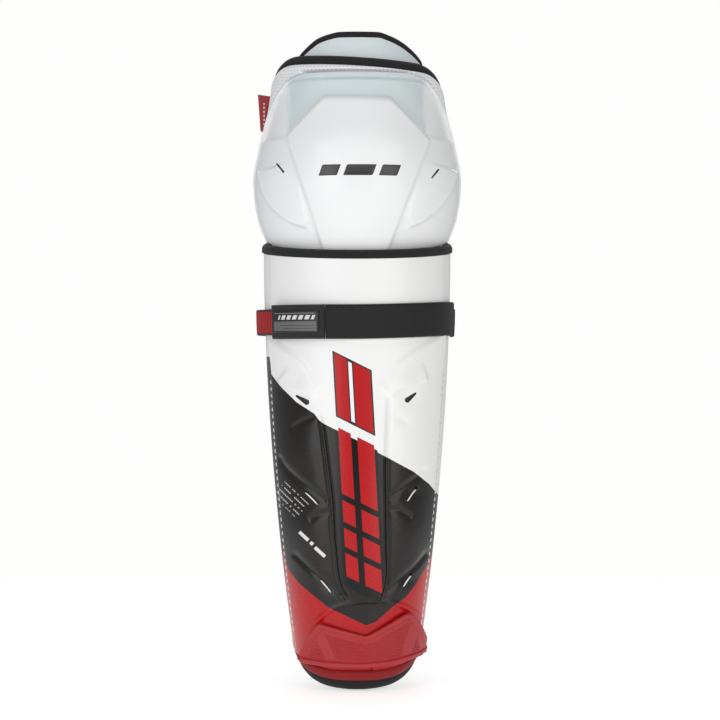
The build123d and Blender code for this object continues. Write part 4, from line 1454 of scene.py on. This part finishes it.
def thigh_flap():
    us, vs = spread(60, 0.4), spread(60, 0.45)

    def surface(u, v, stand):
        z = FLAP_LOW + FLAP_TALL * v
        left, right = through(z, *zip(*FLAP_LEFT)), through(z, *zip(*FLAP_RIGHT))
        x = left + (right - left) * u
        return place(knee_ring, turn_at(x, knee_ring(z)[0] + stand), z, stand)

    u, v = grid_of(us, vs)
    crown = fade(u, 0.3) * fade(v, 0.3)
    top = FLAP_OUTER - 0.4
    bottom = FLAP_OUTER - FLAP_THICK + 0.9 - 0.9 * crown
    obj, grid = panel("thigh_flap", surface, us, vs, top, bottom, 2.2, [FLAP_BLUE])
    finish_piece(obj, "thigh_flap", ["thigh_flap"])
    edge = edge_of(grid, ["low", "end", "high", "start"])
    binding = tape("thigh_flap_binding", edge, 2.6, 4.8, TAPE_BLACK, closed=True, proud=0.2)
    finish_piece(binding, "thigh_flap", ["thigh_flap_binding"])


thigh_flap()


# ------------------------------------------------------------------ stage, light and camera
def floor_material():
    """A pale matte floor that thins out to the white room away from the guard."""
    m = Material("floor", (0.9, 0.9, 0.9), 0.9, Emission_Color=(1, 0.99, 0.98, 1), Emission_Strength=0.5)
    m.use(m.mix(m.math("MULTIPLY", m.noise(0.004, 2), 0.06), (0.9, 0.9, 0.9), (0.84, 0.84, 0.84)))
    x, y, _, _ = m.place()
    far = m.math("SQRT", m.math("ADD", m.math("MULTIPLY", x, x), m.math("MULTIPLY", y, y)))
    share = m.node("MapRange", interpolation_type="SMOOTHSTEP")
    for socket, value in zip(share.inputs, (far, 300.0, 1100.0)):
        m.feed(socket, value)
    blend = m.node("MixShader")
    m.link(share.outputs[0], blend.inputs[0])
    m.link(m.shader.outputs[0], blend.inputs[1])
    m.link(m.node("BsdfTransparent").outputs[0], blend.inputs[2])
    m.link(blend.outputs[0], m.tree.nodes["Material Output"].inputs["Surface"])
    return m.data


def floor():
    """A round floor just under the guard."""
    sides, below = 64, -0.6
    turns = np.linspace(0, 2 * np.pi, sides + 1)[:-1]
    rings = [100, 250, 500, 800, 1200]
    verts = [(0, 0, below)] + [(r * math.cos(t), r * math.sin(t), below) for r in rings for t in turns]
    faces = [(0, 1 + k, 1 + (k + 1) % sides) for k in range(sides)]
    for r in range(len(rings) - 1):
        a, b = 1 + r * sides, 1 + (r + 1) * sides
        faces += [(a + k, b + k, b + (k + 1) % sides, a + (k + 1) % sides) for k in range(sides)]
    new_object("floor", verts, faces, [floor_material()])


floor()


def area_light(name, place_m, aim_m, size, power, color=(1, 1, 1)):
    light = bpy.data.lights.new(name, "AREA")
    light.shape = "RECTANGLE"
    light.size, light.size_y = size
    light.energy, light.color = power, color
    obj = bpy.data.objects.new(name, light)
    bpy.context.scene.collection.objects.link(obj)
    obj.location = place_m
    direction = Vector(aim_m) - Vector(place_m)
    obj.rotation_euler = direction.to_track_quat("-Z", "Y").to_euler()


AIM = (0, 0, 0.26)
area_light("left_box", (-1.35, -1.6, 0.40), AIM, (1.5, 2.2), 20)
area_light("right_box", (1.35, -1.6, 0.35), AIM, (1.5, 2.2), 17.5, (1.0, 0.985, 0.965))
area_light("front_box", (0.0, -2.6, 1.2), AIM, (1.4, 0.8), 7)
area_light("top_box", (0.0, 0.3, 2.1), AIM, (1.6, 1.2), 4, (0.93, 0.97, 1.0))
area_light("back_box", (0.0, 2.4, 1.3), AIM, (1.8, 1.2), 14)

world = bpy.data.worlds.new("studio")
bpy.context.scene.world = world
world.use_nodes = True
nodes, links = world.node_tree.nodes, world.node_tree.links
# The room lights the guard softly and shows a whiter ground behind it
lit = nodes["Background"]
lit.inputs[0].default_value, lit.inputs[1].default_value = (0.97, 0.985, 1, 1), 0.36
seen = nodes.new("ShaderNodeBackground")
seen.inputs[0].default_value, seen.inputs[1].default_value = (0.99, 0.995, 0.985, 1), 1.0
either = nodes.new("ShaderNodeMixShader")
links.new(nodes.new("ShaderNodeLightPath").outputs["Is Camera Ray"], either.inputs[0])
links.new(lit.outputs[0], either.inputs[1])
links.new(seen.outputs[0], either.inputs[2])
links.new(either.outputs[0], nodes["World Output"].inputs[0])
bpy.context.scene.view_settings.view_transform = "Standard"

# Metres: how far the camera stands off, how wide it sees at the shin's front, and what it looks at
DISTANCE, ACROSS, FRONT, LOOK_X, LOOK_Z, SENSOR = 2.0, 0.5405, 0.03, 0.0022, 0.2455, 36.0
camera = bpy.data.cameras.new("camera")
camera.lens = SENSOR * (DISTANCE - FRONT) / ACROSS
camera.sensor_width = SENSOR
camera_object = bpy.data.objects.new("camera", camera)
bpy.context.scene.collection.objects.link(camera_object)
camera_object.location = (LOOK_X, -DISTANCE, LOOK_Z)
camera_object.rotation_euler = (math.radians(90), 0, 0)
bpy.context.scene.camera = camera_object
